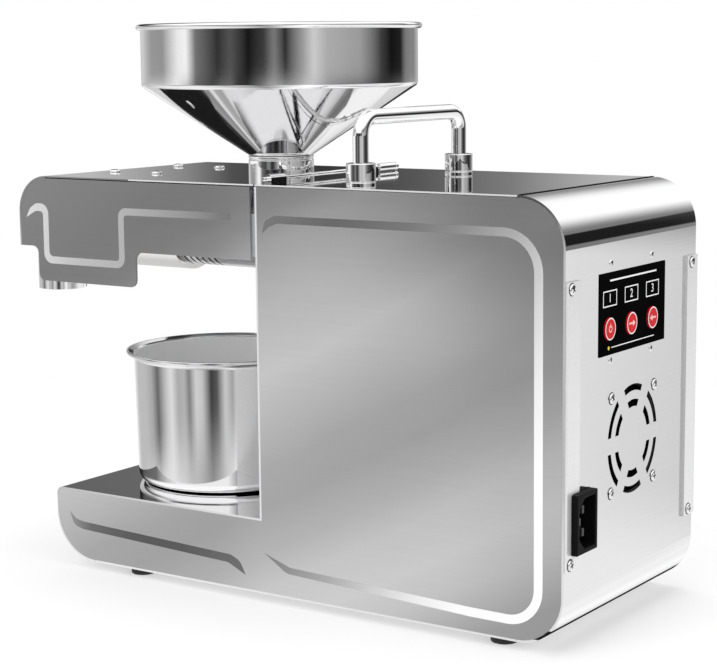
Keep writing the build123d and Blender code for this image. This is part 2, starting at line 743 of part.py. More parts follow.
def arm():
    """The arm: its plates, its bent cover, the bars behind it and the barrel's hanger."""
    parts = arm_plates()
    seam = fore(FLANGE_REAR + SEAM)
    shell = arm_outline(seam, SHEET) - arm_outline(seam)
    cover = side_slab(shell, -HALF, HALF)
    nose, neck_hole = fore(NOSE_LENGTH), NECK_THREAD_DIAMETER / 2 + NECK_THREAD_PLAY
    cover -= hole_x(neck_hole, nose - SHEET, nose, 0, AXIS_Z)
    cover -= hole_z(NECK_OUTER / 2 + LOOSE_FIT, PLATE_TOP, COVER_TOP, fore(HOPPER_CENTRE), 0)
    hanger = barrel_hanger()
    for x, y in ARM_SCREW_PLACES:
        hole = hole_z(SMALL_SHANK + BOLT_PLAY, PLATE_TOP - HANGER_THICKNESS, COVER_TOP, x, y)
        cover -= hole
        hanger -= hole
    parts["arm_cover"] = cover
    parts["barrel_hanger"] = hanger
    parts["arm_brackets"] = group([bracket_bar(side) for side in (-1, 1)])
    parts["arm_screws"] = group(
        [
            screw_z(x, y, COVER_TOP, SMALL_SHANK, SMALL_HEAD, ARM_SCREW_LENGTH)
            for x, y in ARM_SCREW_PLACES
        ]
    )
    return parts


def barrel_hanger():
    """Angle under the arm's cover whose upright leg holds the barrel's front."""
    half_width = ARM_SCREW_WIDTH_SPAN / 2 + HANGER_SIDE
    front = fore(NOSE_LENGTH - NOSE_CORNER)
    rear = fore(ARM_SCREW_CENTRE - ARM_SCREW_LENGTH_SPAN / 2 - HANGER_LAP)
    y_limits = (-half_width, half_width)
    flat = block((front, rear), y_limits, (PLATE_TOP - HANGER_THICKNESS, PLATE_TOP))
    leg = block((front, front + HANGER_THICKNESS), y_limits, (AXIS_Z - HANGER_LAP, PLATE_TOP))
    return flat + leg - hole_x(
        BARREL_RADIUS + CLOSE_FIT, front, front + HANGER_THICKNESS, 0, AXIS_Z
    )


def press_barrel():
    """Barrel with its flange, drip slots, feed port, choke cone and threaded neck."""
    port_x = fore(HOPPER_CENTRE)
    neck_seat = COVER_TOP - NECK_DEPTH - NECK_SEAT_PLAY
    barrel = turned_x(
        AXIS_Z,
        (FLANGE_REAR, 0),
        (FLANGE_REAR, FLANGE_DIAMETER / 2),
        (FLANGE_FRONT, FLANGE_DIAMETER / 2),
        (FLANGE_FRONT, BARREL_RADIUS),
        (BARREL_FRONT, BARREL_RADIUS),
        (BARREL_FRONT, NECK_THREAD_DIAMETER / 2),
        (NUT_FRONT, NECK_THREAD_DIAMETER / 2),
        (NUT_FRONT, NECK_DIAMETER / 2),
        (NECK_FRONT, NECK_DIAMETER / 2),
        (NECK_FRONT, 0),
    )
    barrel += rod_z(NECK_OUTER / 2 + PORT_WALL, AXIS_Z, PLATE_TOP, port_x, 0)
    barrel -= rod_z(NECK_OUTER / 2 + LOOSE_FIT, neck_seat, PLATE_TOP + OVERCUT, port_x, 0)
    barrel -= rod_z(PORT_BORE / 2, AXIS_Z, PLATE_TOP, port_x, 0)
    barrel -= turned_x(
        AXIS_Z,
        (FLANGE_REAR - OVERCUT, 0),
        (FLANGE_REAR - OVERCUT, BORE_RADIUS),
        (BARREL_FRONT, BORE_RADIUS),
        (BARREL_FRONT + CHOKE_LENGTH, NECK_BORE / 2),
        (NECK_FRONT + OVERCUT, NECK_BORE / 2),
        (NECK_FRONT + OVERCUT, 0),
    )
    first = DRIP_CENTRE - (DRIP_SLOTS - 1) * DRIP_SLOT_PITCH / 2
    slot_top = AXIS_Z - BORE_RADIUS + DRIP_SLOT_RISE
    for slot in range(DRIP_SLOTS):
        middle = fore(first + slot * DRIP_SLOT_PITCH)
        cutter = Box(DRIP_SLOT_WIDTH, 2 * BARREL_RADIUS, BARREL_RADIUS)
        barrel -= Pos(middle, 0, slot_top - BARREL_RADIUS / 2) * cutter
    for y, z in flange_bolt_places():
        barrel -= hole_x(FLANGE_BOLT + BOLT_PLAY, fore(FLANGE_FRONT), fore(FLANGE_REAR), y, z)
    return barrel


def press_screw():
    """Screw with a tapering root, one flight, a square tail and a choke cone."""
    outer = BORE_RADIUS - SCREW_CLEARANCE
    flight_start = SCREW_REAR + SCREW_COLLAR_GAP
    flight_end = BARREL_FRONT - FLIGHT_END_GAP
    tip = BARREL_FRONT + CHOKE_LENGTH + TIP_LENGTH
    core = turned_x(
        AXIS_Z,
        (SCREW_REAR, 0),
        (SCREW_REAR, outer),
        (flight_start, outer),
        (flight_start, ROOT_START_DIAMETER / 2),
        (flight_end, ROOT_END_DIAMETER / 2),
        (BARREL_FRONT, ROOT_END_DIAMETER / 2),
        (BARREL_FRONT + CHOKE_LENGTH, NECK_BORE / 2 - CONE_GAP),
        (tip, NECK_BORE / 2 - TIP_GAP),
        (tip, 0),
    )
    tail = block(
        (fore(SCREW_REAR), fore(SCREW_REAR - TAIL_LENGTH)),
        (-TAIL_SQUARE / 2, TAIL_SQUARE / 2),
        (AXIS_Z - TAIL_SQUARE / 2, AXIS_Z + TAIL_SQUARE / 2),
    )
    height = flight_end - flight_start - FLIGHT_THICKNESS
    root = ROOT_START_DIAMETER / 2 - FLIGHT_ROOTING
    depth = outer - root
    path = Helix(FLIGHT_PITCH, height, root)
    start = Plane(path @ 0, x_dir=(1, 0, 0), z_dir=path % 0)
    section = start * Pos(depth / 2, 0, 0) * Rectangle(depth, FLIGHT_THICKNESS)
    flight = sweep(section, path, is_frenet=True)
    place = Pos(fore(flight_start + FLIGHT_THICKNESS / 2), 0, AXIS_Z) * Rot(0, -90, 0)
    return core + tail + place * flight


def heater():
    """Band heater round the barrel, split at the top, with its clamp bolt."""
    outer = HEATER_RADIUS + HEATER_THICKNESS
    front, rear = fore(HEATER_FRONT), fore(HEATER_REAR)
    middle = (front + rear) / 2
    lug_top = AXIS_Z + outer + HEATER_LUG_HEIGHT
    half_lug, half_width = HEATER_LUG_LENGTH / 2, HEATER_LUG_WIDTH / 2
    band = rod_x(outer, front, rear, 0, AXIS_Z)
    band += block((middle - half_lug, middle + half_lug), (-half_width, half_width), (AXIS_Z, lug_top))
    band -= hole_x(HEATER_RADIUS, front, rear, 0, AXIS_Z)
    band -= block(
        (front - HEATER_EDGE, rear + HEATER_EDGE),
        (-HEATER_SPLIT / 2, HEATER_SPLIT / 2),
        (AXIS_Z, lug_top + HEATER_EDGE),
    )
    bolt_z = lug_top - HEATER_LUG_HEIGHT / 2
    band -= rod_y(HEATER_BOLT + BOLT_PLAY, -2 * half_width, 2 * half_width, middle, bolt_z)
    bolt = rod_y(HEATER_BOLT, -half_width, HEATER_BOLT_REACH, middle, bolt_z)
    bolt += rod_y(
        HEATER_BOLT_HEAD, -half_width - HEATER_BOLT_HEAD_HEIGHT, -half_width, middle, bolt_z
    )
    return {"heater_band": band, "heater_bolt": bolt}


def nose_nut():
    """Ring nut with finger grips that holds the barrel in the nose."""
    front, rear = fore(NUT_FRONT), fore(NUT_REAR)
    nut = rod_x(NUT_DIAMETER / 2, front, rear, 0, AXIS_Z)
    nut -= hole_x(NECK_THREAD_DIAMETER / 2 + LOOSE_FIT, front, rear, 0, AXIS_Z)
    reach = NUT_DIAMETER / 2 + NUT_GRIP_OFFSET
    for grip in range(NUT_GRIPS):
        angle = 2 * pi * grip / NUT_GRIPS
        y, z = reach * cos(angle), AXIS_Z + reach * sin(angle)
        nut -= hole_x(NUT_GRIP_RADIUS, front, rear, y, z)
    return nut


def residue_elbow():
    """Bent tube that turns the pressed residue down in front of the nose."""
    mouth_x, down_x = fore(ELBOW_START), fore(ELBOW_REACH)
    bend_in = (down_x + ELBOW_BEND, AXIS_Z)
    bend_out = (down_x, AXIS_Z - ELBOW_BEND)
    shift = ELBOW_BEND * (1 - cos(pi / 4))
    middle = (down_x + shift, AXIS_Z - shift)
    run = Line((mouth_x, AXIS_Z), bend_in)
    run += ThreePointArc(bend_in, middle, bend_out)
    run += Line(bend_out, (down_x, AXIS_Z - ELBOW_DROP))
    path = Plane.XZ * run
    mouth = Plane((mouth_x, 0, AXIS_Z), z_dir=(-1, 0, 0))
    outside = sweep(mouth * Circle(ELBOW_DIAMETER / 2), path)
    inside = sweep(mouth * Circle(ELBOW_DIAMETER / 2 - ELBOW_WALL), path)
    return outside - inside


def hopper_set():
    """Hopper with its neck, and the collar that it stands on."""
    x = fore(HOPPER_CENTRE)
    top = COVER_TOP + HOPPER_TOP
    band_bottom = top - HOPPER_BAND
    neck, collar = NECK_OUTER / 2, COLLAR_DIAMETER / 2
    inner = HOPPER_RADIUS - HOPPER_SHEET
    shell = turned_z(
        x,
        0,
        (neck - HOPPER_SHEET, COVER_TOP - NECK_DEPTH),
        (neck, COVER_TOP - NECK_DEPTH),
        (neck, HOPPER_SEAT),
        (collar, HOPPER_SEAT),
        (collar + HOPPER_STEP[0], HOPPER_SEAT + HOPPER_STEP[1]),
        (HOPPER_RADIUS, band_bottom, HOPPER_BAND_CORNER),
        (HOPPER_RADIUS, top - HOPPER_BEAD),
        (inner, top - HOPPER_BEAD),
        (inner, band_bottom + HOPPER_SLOPE_SHEET / 3, HOPPER_BAND_CORNER),
        (neck - HOPPER_SHEET, HOPPER_SEAT + HOPPER_SLOPE_SHEET, THROAT_CORNER),
    )
    bead = Pos(x, 0, top - HOPPER_BEAD) * Torus(HOPPER_RADIUS + HOPPER_BEAD / 2, HOPPER_BEAD)
    ring = rod_z(collar, COVER_TOP, HOPPER_SEAT, x, 0)
    ring -= hole_z(neck + LOOSE_FIT, COVER_TOP, HOPPER_SEAT, x, 0)
    return {"hopper": shell + bead, "hopper_collar": ring}


def carry_handle():
    """D handle across the body, its two collars and the nuts under the top plate."""
    x = fore(HANDLE_PLACE)
    low = PLATE_TOP - HANDLE_FOOT
    high = COVER_TOP + HANDLE_HEIGHT - HANDLE_ROD / 2
    path = FilletPolyline(
        (x, -HANDLE_HALF, low),
        (x, -HANDLE_HALF, high),
        (x, HANDLE_HALF, high),
        (x, HANDLE_HALF, low),
        radius=HANDLE_BEND,
    )
    rod = sweep(Plane((x, -HANDLE_HALF, low), z_dir=(0, 0, 1)) * Circle(HANDLE_ROD / 2), path)
    collars, nuts = [], []
    for x, y in HANDLE_PLACES:
        hole = rod_z(HANDLE_ROD / 2 + CLOSE_FIT, low, COVER_TOP + HANDLE_HEIGHT / 2, x, y)
        collar = rod_z(HANDLE_COLLAR / 2, COVER_TOP, COVER_TOP + HANDLE_COLLAR_HEIGHT, x, y)
        hexagon = extrude(RegularPolygon(HANDLE_NUT_RADIUS, 6), HANDLE_NUT_HEIGHT)
        collars.append(collar - hole)
        nuts.append(Pos(x, y, PLATE_TOP - HANDLE_NUT_HEIGHT) * hexagon - hole)
    return {"carry_handle": rod, "handle_collars": group(collars), "handle_nuts": group(nuts)}


def lock_rod_set():
    """Thin rod across the seam between arm and body, with its grip and guides."""
    x = fore(BODY_LENGTH - LOCK_ROD_SETBACK)
    z = COVER_TOP + LOCK_GRIP_DIAMETER / 2 + LOOSE_FIT
    grip_start = LOCK_ROD_RIGHT - LOCK_GRIP_LENGTH
    rod = rod_y(LOCK_ROD_DIAMETER / 2, LOCK_ROD_LEFT, grip_start, x, z)
    rod += rod_y(LOCK_GRIP_DIAMETER / 2, grip_start, LOCK_ROD_RIGHT, x, z)
    hole = rod_y(LOCK_ROD_DIAMETER / 2 + RUNNING_FIT, -HALF, HALF, x, z)
    guide_starts = (
        LOCK_ROD_LEFT + LOCK_GUIDE_GAPS[0],
        grip_start - LOCK_GUIDE_GAPS[1] - LOCK_GUIDE_LENGTHS[1],
    )
    guides = []
    for y_low, length in zip(guide_starts, LOCK_GUIDE_LENGTHS):
        y_limits = (y_low, y_low + length)
        guide = block((x - LOCK_GUIDE_RADIUS, x + LOCK_GUIDE_RADIUS), y_limits, (COVER_TOP, z))
        guides.append(guide + rod_y(LOCK_GUIDE_RADIUS, *y_limits, x, z) - hole)
    return {"lock_rod": rod, "lock_rod_guides": group(guides)}


def cup():
    """Straight-sided oil cup with a rounded foot and a flared rim."""
    bottom, top = PLATFORM_TOP, PLATFORM_TOP + CUP_HEIGHT
    under_rim = top - CUP_RIM_HEIGHT
    inner_foot = CUP_FOOT_CORNER - CUP_SHEET
    return turned_z(
        fore(CUP_CENTRE),
        0,
        (0, bottom),
        (CUP_BASE_RADIUS, bottom, CUP_FOOT_CORNER),
        (CUP_TOP_RADIUS, under_rim - CUP_RIM_FALL, CUP_RIM_CORNER),
        (CUP_RIM_RADIUS, under_rim),
        (CUP_RIM_RADIUS, top),
        (CUP_TOP_RADIUS - CUP_SHEET, top - CUP_RIM_FALL, CUP_RIM_CORNER),
        (CUP_BASE_RADIUS - CUP_SHEET, bottom + CUP_SHEET, inner_foot),
        (0, bottom + CUP_SHEET),
    )


def control_panel():
    """Glossy panel, its three buttons, its studs and the board behind it."""
    radius = BUTTON_DIAMETER / 2
    board_rear, board_front = fore(BOARD_SETBACK), fore(BOARD_SETBACK + BOARD_THICKNESS)
    switch_face = board_rear + SWITCH_HEIGHT
    half_switch = SWITCH_SIZE / 2
    panel = block(
        (WRAP_FACE, WRAP_FACE + PANEL_THICKNESS),
        (PANEL_MIDDLE - PANEL_WIDTH / 2, PANEL_MIDDLE + PANEL_WIDTH / 2),
        (PANEL_LEVEL - PANEL_HEIGHT / 2, PANEL_LEVEL + PANEL_HEIGHT / 2),
    )
    board = block(
        (board_rear, board_front),
        (STUD_PLACES[0][0] - BOARD_LEFT, STUD_PLACES[-1][0] + BOARD_RIGHT),
        (down(STUD_LOW_DROP) - BOARD_LOW, down(STUD_HIGH_DROP) + BOARD_HIGH),
    )
    parts = {}
    flange_face = WRAP_FACE - LOOSE_FIT
    flange_back = flange_face - BUTTON_FLANGE_DEPTH
    cap_face = WRAP_FACE + PANEL_THICKNESS + BUTTON_PROUD
    stem_end = switch_face + BUTTON_TRAVEL + CLOSE_FIT
    for name, y in zip(("heat_button", "press_button", "clear_button"), BUTTON_PLACES):
        panel -= hole_x(radius + LOOSE_FIT, WRAP_FACE, cap_face, y, BUTTON_LEVEL)
        cap = rod_x(radius, flange_face, cap_face, y, BUTTON_LEVEL)
        flange = rod_x(radius + BUTTON_FLANGE, flange_back, flange_face, y, BUTTON_LEVEL)
        stem = rod_x(BUTTON_STEM, stem_end, flange_back, y, BUTTON_LEVEL)
        parts[name] = cap + flange + stem
        board += block(
            (board_rear, switch_face),
            (y - half_switch, y + half_switch),
            (BUTTON_LEVEL - half_switch, BUTTON_LEVEL + half_switch),
        )
    studs = []
    for y, z in STUD_PLACES:
        shank = rod_x(SMALL_SHANK, board_front - STUD_TAIL, WRAP_FACE, y, z)
        head = rod_x(STUD_HEAD, WRAP_FACE, WRAP_FACE + STUD_HEAD_HEIGHT, y, z)
        studs.append(shank + head + rod_x(STUD_SPACER, board_rear, REAR_X, y, z))
        board -= hole_x(SMALL_SHANK + CLOSE_FIT, board_front, board_rear, y, z)
    parts["control_panel"] = panel
    parts["control_board"] = board
    parts["panel_studs"] = group(studs)
    return parts


def power_inlet():
    """Mains inlet with its cavity and its three pins."""
    face = REAR_X + INLET_PROUD
    back = face - INLET_DEPTH
    cavity = inlet_prism(-INLET_WALL, face - INLET_CAVITY, face + OVERCUT, INLET_CLIP)
    body = inlet_prism(0, back, face) - cavity
    pins = []
    for y_offset, z_offset in PIN_OFFSETS:
        y, z = INLET_MIDDLE + y_offset, up(INLET_LEVEL) + z_offset
        pin = block(
            (back - PIN_TAIL, face - PIN_SINK),
            (y - PIN_WIDTH / 2, y + PIN_WIDTH / 2),
            (z - PIN_HEIGHT / 2, z + PIN_HEIGHT / 2),
        )
        pins.append(pin)
        body -= pin
    return {"power_inlet": body, "inlet_pins": group(pins)}


def fan_set():
    """Square cooling fan behind the slots, its rotor and its four screws."""
    half, bore = FAN_SIZE / 2, FAN_SIZE / 2 - FAN_WALL
    front, z = fore(FAN_DEPTH), FAN_LEVEL
    frame = block((front, REAR_X), (-half, half), (z - half, z + half))
    frame -= hole_x(bore, front, REAR_X, 0, z)
    hub_lap = FAN_SPOKE / 2
    for spoke in range(3):
        bar = block((0, FAN_PLATE), (FAN_HUB - hub_lap, bore + hub_lap / 2), (-hub_lap, hub_lap))
        frame += Pos(front, 0, z) * Rot(120 * spoke, 0, 0) * bar
    frame += rod_x(FAN_HUB, front, front + FAN_PLATE, 0, z)
    frame += rod_x(FAN_AXLE, front, fore(FAN_AXLE_REAR), 0, z)
    rotor_front = front + FAN_PLATE + FAN_ROTOR_GAP
    rotor_rear = fore(FAN_ROTOR_REAR)
    rotor = rod_x(FAN_HUB, rotor_front, rotor_rear, 0, z)
    blade_length = bore - FAN_HUB - 2 * BOLT_PLAY
    for blade in range(FAN_BLADES):
        leaf = Rot(0, 0, FAN_BLADE_PITCH) * Box(FAN_BLADE_CHORD, FAN_BLADE_THICKNESS, blade_length)
        leaf = Pos(0, 0, (FAN_HUB + bore) / 2 - 2 * LOOSE_FIT) * leaf
        middle = Pos((rotor_front + rotor_rear) / 2, 0, z)
        rotor += middle * Rot(360 / FAN_BLADES * blade, 0, 0) * leaf
    axle_end = fore(FAN_AXLE_REAR) + FAN_ROTOR_GAP
    rotor -= rod_x(FAN_AXLE + RUNNING_FIT, front, axle_end, 0, z)
    screws = []
    for y, level in FAN_SCREW_PLACES:
        screws.append(screw_x(y, level, WRAP_FACE, FAN_SHANK, FAN_SCREW_LENGTH))
        frame -= hole_x(FAN_SHANK + BOLT_PLAY, front, REAR_X, y, level)
    return {"fan_frame": frame, "fan_rotor": rotor, "fan_screws": group(screws)}


def gearbox():
    """Gear case, lid, bearings, the idler's pin and the barrel's bolts."""
    half, wall = CASE_WIDTH / 2, CASE_SIDE_WALL
    top = AXIS_Z + WHEEL_OUTER + CASE_TOP_SPACE
    low = MOTOR_Z - PINION_OUTER - CASE_LOW_SPACE
    front, inside_front = fore(CASE_FRONT), fore(CASE_INSIDE_FRONT)
    inside_rear, lid_rear = fore(CASE_INSIDE_REAR), fore(LID_REAR)
    front_boss = SOCKET_DIAMETER / 2 + RUNNING_FIT
    case = block((front, inside_rear), (-half, half), (low, top))
    case -= block(
        (inside_front, inside_rear + OVERCUT), (wall - half, half - wall), (low + wall, top - wall)
    )
    case -= hole_x(FRONT_BEARING + RUNNING_FIT, front, inside_front, 0, AXIS_Z)
    for y, z in flange_bolt_places():
        case -= hole_x(FLANGE_BOLT + BOLT_PLAY, front, inside_front, y, z)
    lid = block((inside_rear, lid_rear), (-half, half), (low, top))
    lid -= hole_x(REAR_BEARING + RUNNING_FIT, inside_rear, lid_rear, 0, AXIS_Z)
    lid -= hole_x(PINION_OUTER + SOCKET_LEAD, inside_rear, lid_rear, 0, MOTOR_Z)
    rear_boss = JOURNAL_DIAMETER / 2 + RUNNING_FIT
    bearings = [
        ring_x(AXIS_Z, front_boss, FRONT_BEARING, CASE_FRONT, CASE_INSIDE_FRONT),
        ring_x(AXIS_Z, rear_boss, REAR_BEARING, CASE_INSIDE_REAR, LID_REAR),
    ]
    washer_rear = OUTPUT_WHEEL_FRONT + LOOSE_FIT
    washer = ring_x(
        AXIS_Z, front_boss + BOLT_PLAY, FRONT_BEARING - WASHER_EDGE, CASE_INSIDE_FRONT, washer_rear
    )
    flange_face = fore(FLANGE_FRONT)
    head_face = fore(FLANGE_FRONT + FLANGE_BOLT_HEAD_HEIGHT)
    bolts = group(
        [
            rod_x(FLANGE_BOLT, flange_face, inside_front, y, z)
            + rod_x(FLANGE_BOLT_HEAD, head_face, flange_face, y, z)
            for y, z in flange_bolt_places()
        ]
    )
    return {
        "gear_case": case,
        "gear_case_lid": lid,
        "idler_pin": rod_x(IDLER_PIN / 2, inside_front, inside_rear, 0, IDLER_Z),
        "output_bearings": group(bearings),
        "thrust_washer": washer,
        "barrel_bolts": bolts,
    }


def gear_train():
    """Output wheel and shaft, idler with wheel and pinion, motor pinion."""
    shaft_radius = SHAFT_DIAMETER / 2
    socket_front = SCREW_REAR - SOCKET_LEAD
    wheel_front, wheel_rear = fore(OUTPUT_WHEEL_FRONT), fore(OUTPUT_WHEEL_REAR)
    half_socket = TAIL_SQUARE / 2 + CLOSE_FIT
    shaft = rod_x(SOCKET_DIAMETER / 2, fore(socket_front), wheel_front, 0, AXIS_Z)
    shaft += rod_x(shaft_radius, wheel_front, wheel_rear, 0, AXIS_Z)
    shaft += rod_x(JOURNAL_DIAMETER / 2, wheel_rear, fore(LID_REAR + JOURNAL_END), 0, AXIS_Z)
    shaft -= block(
        (fore(socket_front) - OVERCUT, fore(SCREW_REAR - TAIL_LENGTH - JOURNAL_END)),
        (-half_socket, half_socket),
        (AXIS_Z - half_socket, AXIS_Z + half_socket),
    )
    wheel_bore = shaft_radius + WHEEL_BORE_PLAY
    pin_bore = IDLER_PIN / 2 + RUNNING_FIT
    idler = gear(WHEEL_TEETH, IDLER_WHEEL_WIDTH, IDLER_WHEEL_FRONT, IDLER_Z, pin_bore, 0.0)
    pinion_width = IDLER_PINION_FRONT - IDLER_WHEEL_FRONT
    idler += gear(PINION_TEETH, pinion_width, IDLER_PINION_FRONT, IDLER_Z, pin_bore, 0.5)
    return {
        "output_shaft": shaft,
        "output_wheel": gear(
            WHEEL_TEETH, OUTPUT_WHEEL_WIDTH, OUTPUT_WHEEL_FRONT, AXIS_Z, wheel_bore, 0.0
        ),
        "idler_gear": idler,
        "motor_pinion": gear(
            PINION_TEETH, IDLER_WHEEL_WIDTH, IDLER_WHEEL_FRONT, MOTOR_Z, MOTOR_SHAFT / 2, 0.5
        ),
    }


def motor():
    """Motor can with its two end plates, its magnets and its armature."""
    radius, inside = MOTOR_DIAMETER / 2, MOTOR_DIAMETER / 2 - MOTOR_SHELL
    front = LID_REAR
    rear = front - MOTOR_LENGTH
    can = ring_x(MOTOR_Z, inside, radius, front - MOTOR_PLATE, rear + MOTOR_PLATE)
    shaft_hole = MOTOR_SHAFT / 2 + RUNNING_FIT
    front_plate = ring_x(MOTOR_Z, shaft_hole, radius, front, front - MOTOR_PLATE)
    rear_plate = ring_x(MOTOR_Z, shaft_hole, radius, rear + MOTOR_PLATE, rear)
    rear_plate += ring_x(MOTOR_Z, shaft_hole, MOTOR_BOSS, rear, rear - MOTOR_BOSS_HEIGHT)
    core_front, core_rear = front - ARMATURE_FRONT, rear + ARMATURE_REAR
    core_radius = inside - MAGNET_THICKNESS - ARMATURE_GAP
    armature = rod_x(core_radius, fore(core_front), fore(core_rear), 0, MOTOR_Z)
    armature += rod_x(
        COMMUTATOR_RADIUS, fore(core_rear - COMMUTATOR_GAP), fore(rear + COMMUTATOR_REAR), 0, MOTOR_Z
    )
    shaft_ends = (fore(IDLER_WHEEL_FRONT), fore(rear - MOTOR_BOSS_HEIGHT))
    armature += rod_x(MOTOR_SHAFT / 2, *shaft_ends, 0, MOTOR_Z)
    shell = ring_x(
        MOTOR_Z, inside - MAGNET_THICKNESS, inside, front - MAGNET_FRONT, rear + MAGNET_REAR
    )
    magnets = []
    for side in (-1, 1):
        keep = block(
            (fore(front), fore(rear)),
            (side * MAGNET_EDGE, side * radius),
            (MOTOR_Z - radius, MOTOR_Z + radius),
        )
        magnets.append(shell & keep)
    return {
        "motor_can": can,
        "motor_end_plates": group([front_plate, rear_plate]),
        "motor_armature": armature,
        "motor_magnets": group(magnets),
    }


def power_board():
    """Mains board on the floor pan, with its transformer, capacitors and relays."""
    base = PLATE_BOTTOM + MAINS_BOARD_RAISE
    deck = base + BOARD_THICKNESS
    rear, left = MAINS_BOARD_PLACE
    front, right = rear + MAINS_BOARD_SIZE[0], left + MAINS_BOARD_SIZE[1]
    edge = left + TRANSFORMER_PLACE[1]

    def component(size, behind):
        rear_edge = rear + behind
        return block(
            (fore(rear_edge + size[0]), fore(rear_edge)), (edge, edge + size[1]), (deck, deck + size[2])
        )

    board = block((fore(front), fore(rear)), (left, right), (base, deck))
    board += component(TRANSFORMER_SIZE, TRANSFORMER_PLACE[0])
    for behind in RELAY_PLACES:
        board += component(RELAY_SIZE, behind)
        x = fore(rear + behind + RELAY_SIZE[0] / 2)
        board += rod_z(CAPACITOR_RADIUS, deck, deck + CAPACITOR_HEIGHT, x, left + CAPACITOR_PLACE)
    pillars = [
        rod_z(PILLAR_RADIUS, PLATE_BOTTOM, base, fore(x), y)
        for x in (front - PILLAR_INSET, rear + PILLAR_INSET)
        for y in (left + PILLAR_INSET, right - PILLAR_INSET)
    ]
    return {"power_board": board, "board_pillars": group(pillars)}


def feet():
    """Rubber feet under the floor pan and the screws that hold them."""
    pan_bottom = PLATE_BOTTOM - SHEET
    rubber, screws = [], []
    for x, y in FOOT_PLACES:
        foot = rod_z(FOOT_DIAMETER / 2, 0, pan_bottom, x, y)
        hole = rod_z(FOOT_SCREW + BOLT_PLAY, FOOT_FLOOR, pan_bottom + OVERCUT, x, y)
        rubber.append(foot - hole)
        screws.append(screw_z(x, y, PLATE_BOTTOM, FOOT_SCREW, FOOT_SCREW_HEAD, FOOT_SCREW_LENGTH))
    return {"rubber_feet": group(rubber), "foot_screws": group(screws)}


def corner_screws():
    """The four screws at the corners of the rear end."""
    seat = WRAP_FACE + STRIP_THICKNESS
    return group([screw_x(y, z, seat, SMALL_SHANK, CORNER_SCREW_LENGTH) for y, z in CORNER_PLACES])


def build():
    """Every node of the press by name."""
    parts = body_shell()
    parts.update(arm())
    parts.update(heater())
    parts.update(hopper_set())
    parts.update(carry_handle())
    parts.update(lock_rod_set())
    parts.update(control_panel())
    parts.update(power_inlet())
    parts.update(fan_set())
    parts.update(gearbox())
    parts.update(gear_train())
    parts.update(motor())
    parts.update(power_board())
    parts.update(feet())
    parts["press_barrel"] = press_barrel()
    parts["press_screw"] = press_screw()
    parts["nose_nut"] = nose_nut()
    parts["residue_elbow"] = residue_elbow()
    parts["oil_cup"] = cup()
    parts["corner_screws"] = corner_screws()
    return parts


os.makedirs("parts", exist_ok=True)
for node, shape in build().items():
    export_step(shape, f"parts/{node}.step")
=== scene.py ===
"""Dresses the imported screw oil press: finishes, fine pieces and a plain studio."""

import itertools
import logging
import math
from dataclasses import dataclass, field
from enum import Enum
from typing import Any, Iterable, Optional, Union

import bmesh
import bpy
from bmesh.types import BMEdge, BMFace, BMVert
from mathutils import Matrix, Vector


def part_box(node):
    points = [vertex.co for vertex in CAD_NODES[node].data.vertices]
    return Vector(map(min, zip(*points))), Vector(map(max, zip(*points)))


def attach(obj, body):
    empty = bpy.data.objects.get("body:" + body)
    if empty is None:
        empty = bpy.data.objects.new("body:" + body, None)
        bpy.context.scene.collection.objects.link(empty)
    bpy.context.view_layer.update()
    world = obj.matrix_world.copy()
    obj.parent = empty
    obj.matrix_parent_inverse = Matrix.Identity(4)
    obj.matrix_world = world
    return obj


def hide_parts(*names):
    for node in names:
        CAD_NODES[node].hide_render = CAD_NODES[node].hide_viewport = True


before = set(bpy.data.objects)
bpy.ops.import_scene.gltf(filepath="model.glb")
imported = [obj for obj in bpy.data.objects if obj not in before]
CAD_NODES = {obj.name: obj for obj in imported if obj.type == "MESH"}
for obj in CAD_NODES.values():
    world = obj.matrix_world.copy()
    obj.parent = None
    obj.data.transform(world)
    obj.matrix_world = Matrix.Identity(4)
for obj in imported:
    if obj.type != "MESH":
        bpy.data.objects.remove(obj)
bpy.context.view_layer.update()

LOG = logging.getLogger("oil_press")
MM = 0.001

# Bump depth of fine textures in metres, the glossiest metal, and the tone of a thin shadow
FINE_RELIEF = 0.0001
LEAST_ROUGHNESS = 0.015
SHADOW_TONE = (0.01, 0.01, 0.01)

# Print: its thickness in millimetres, the type size for a letter height of 1, and the angle past
# which edges of flat work stay sharp
INK = 0.06
TYPE_SIZE = 1.4
FLAT_WORK = 20.0

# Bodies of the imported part
HOUSING, HOPPER_BODY, CUP_BODY, LOCK_BODY, NUT_BODY, FAN_BODY = (
    "housing", "hopper_body", "cup", "lock", "nut", "fan"
)


# Shader arithmetic


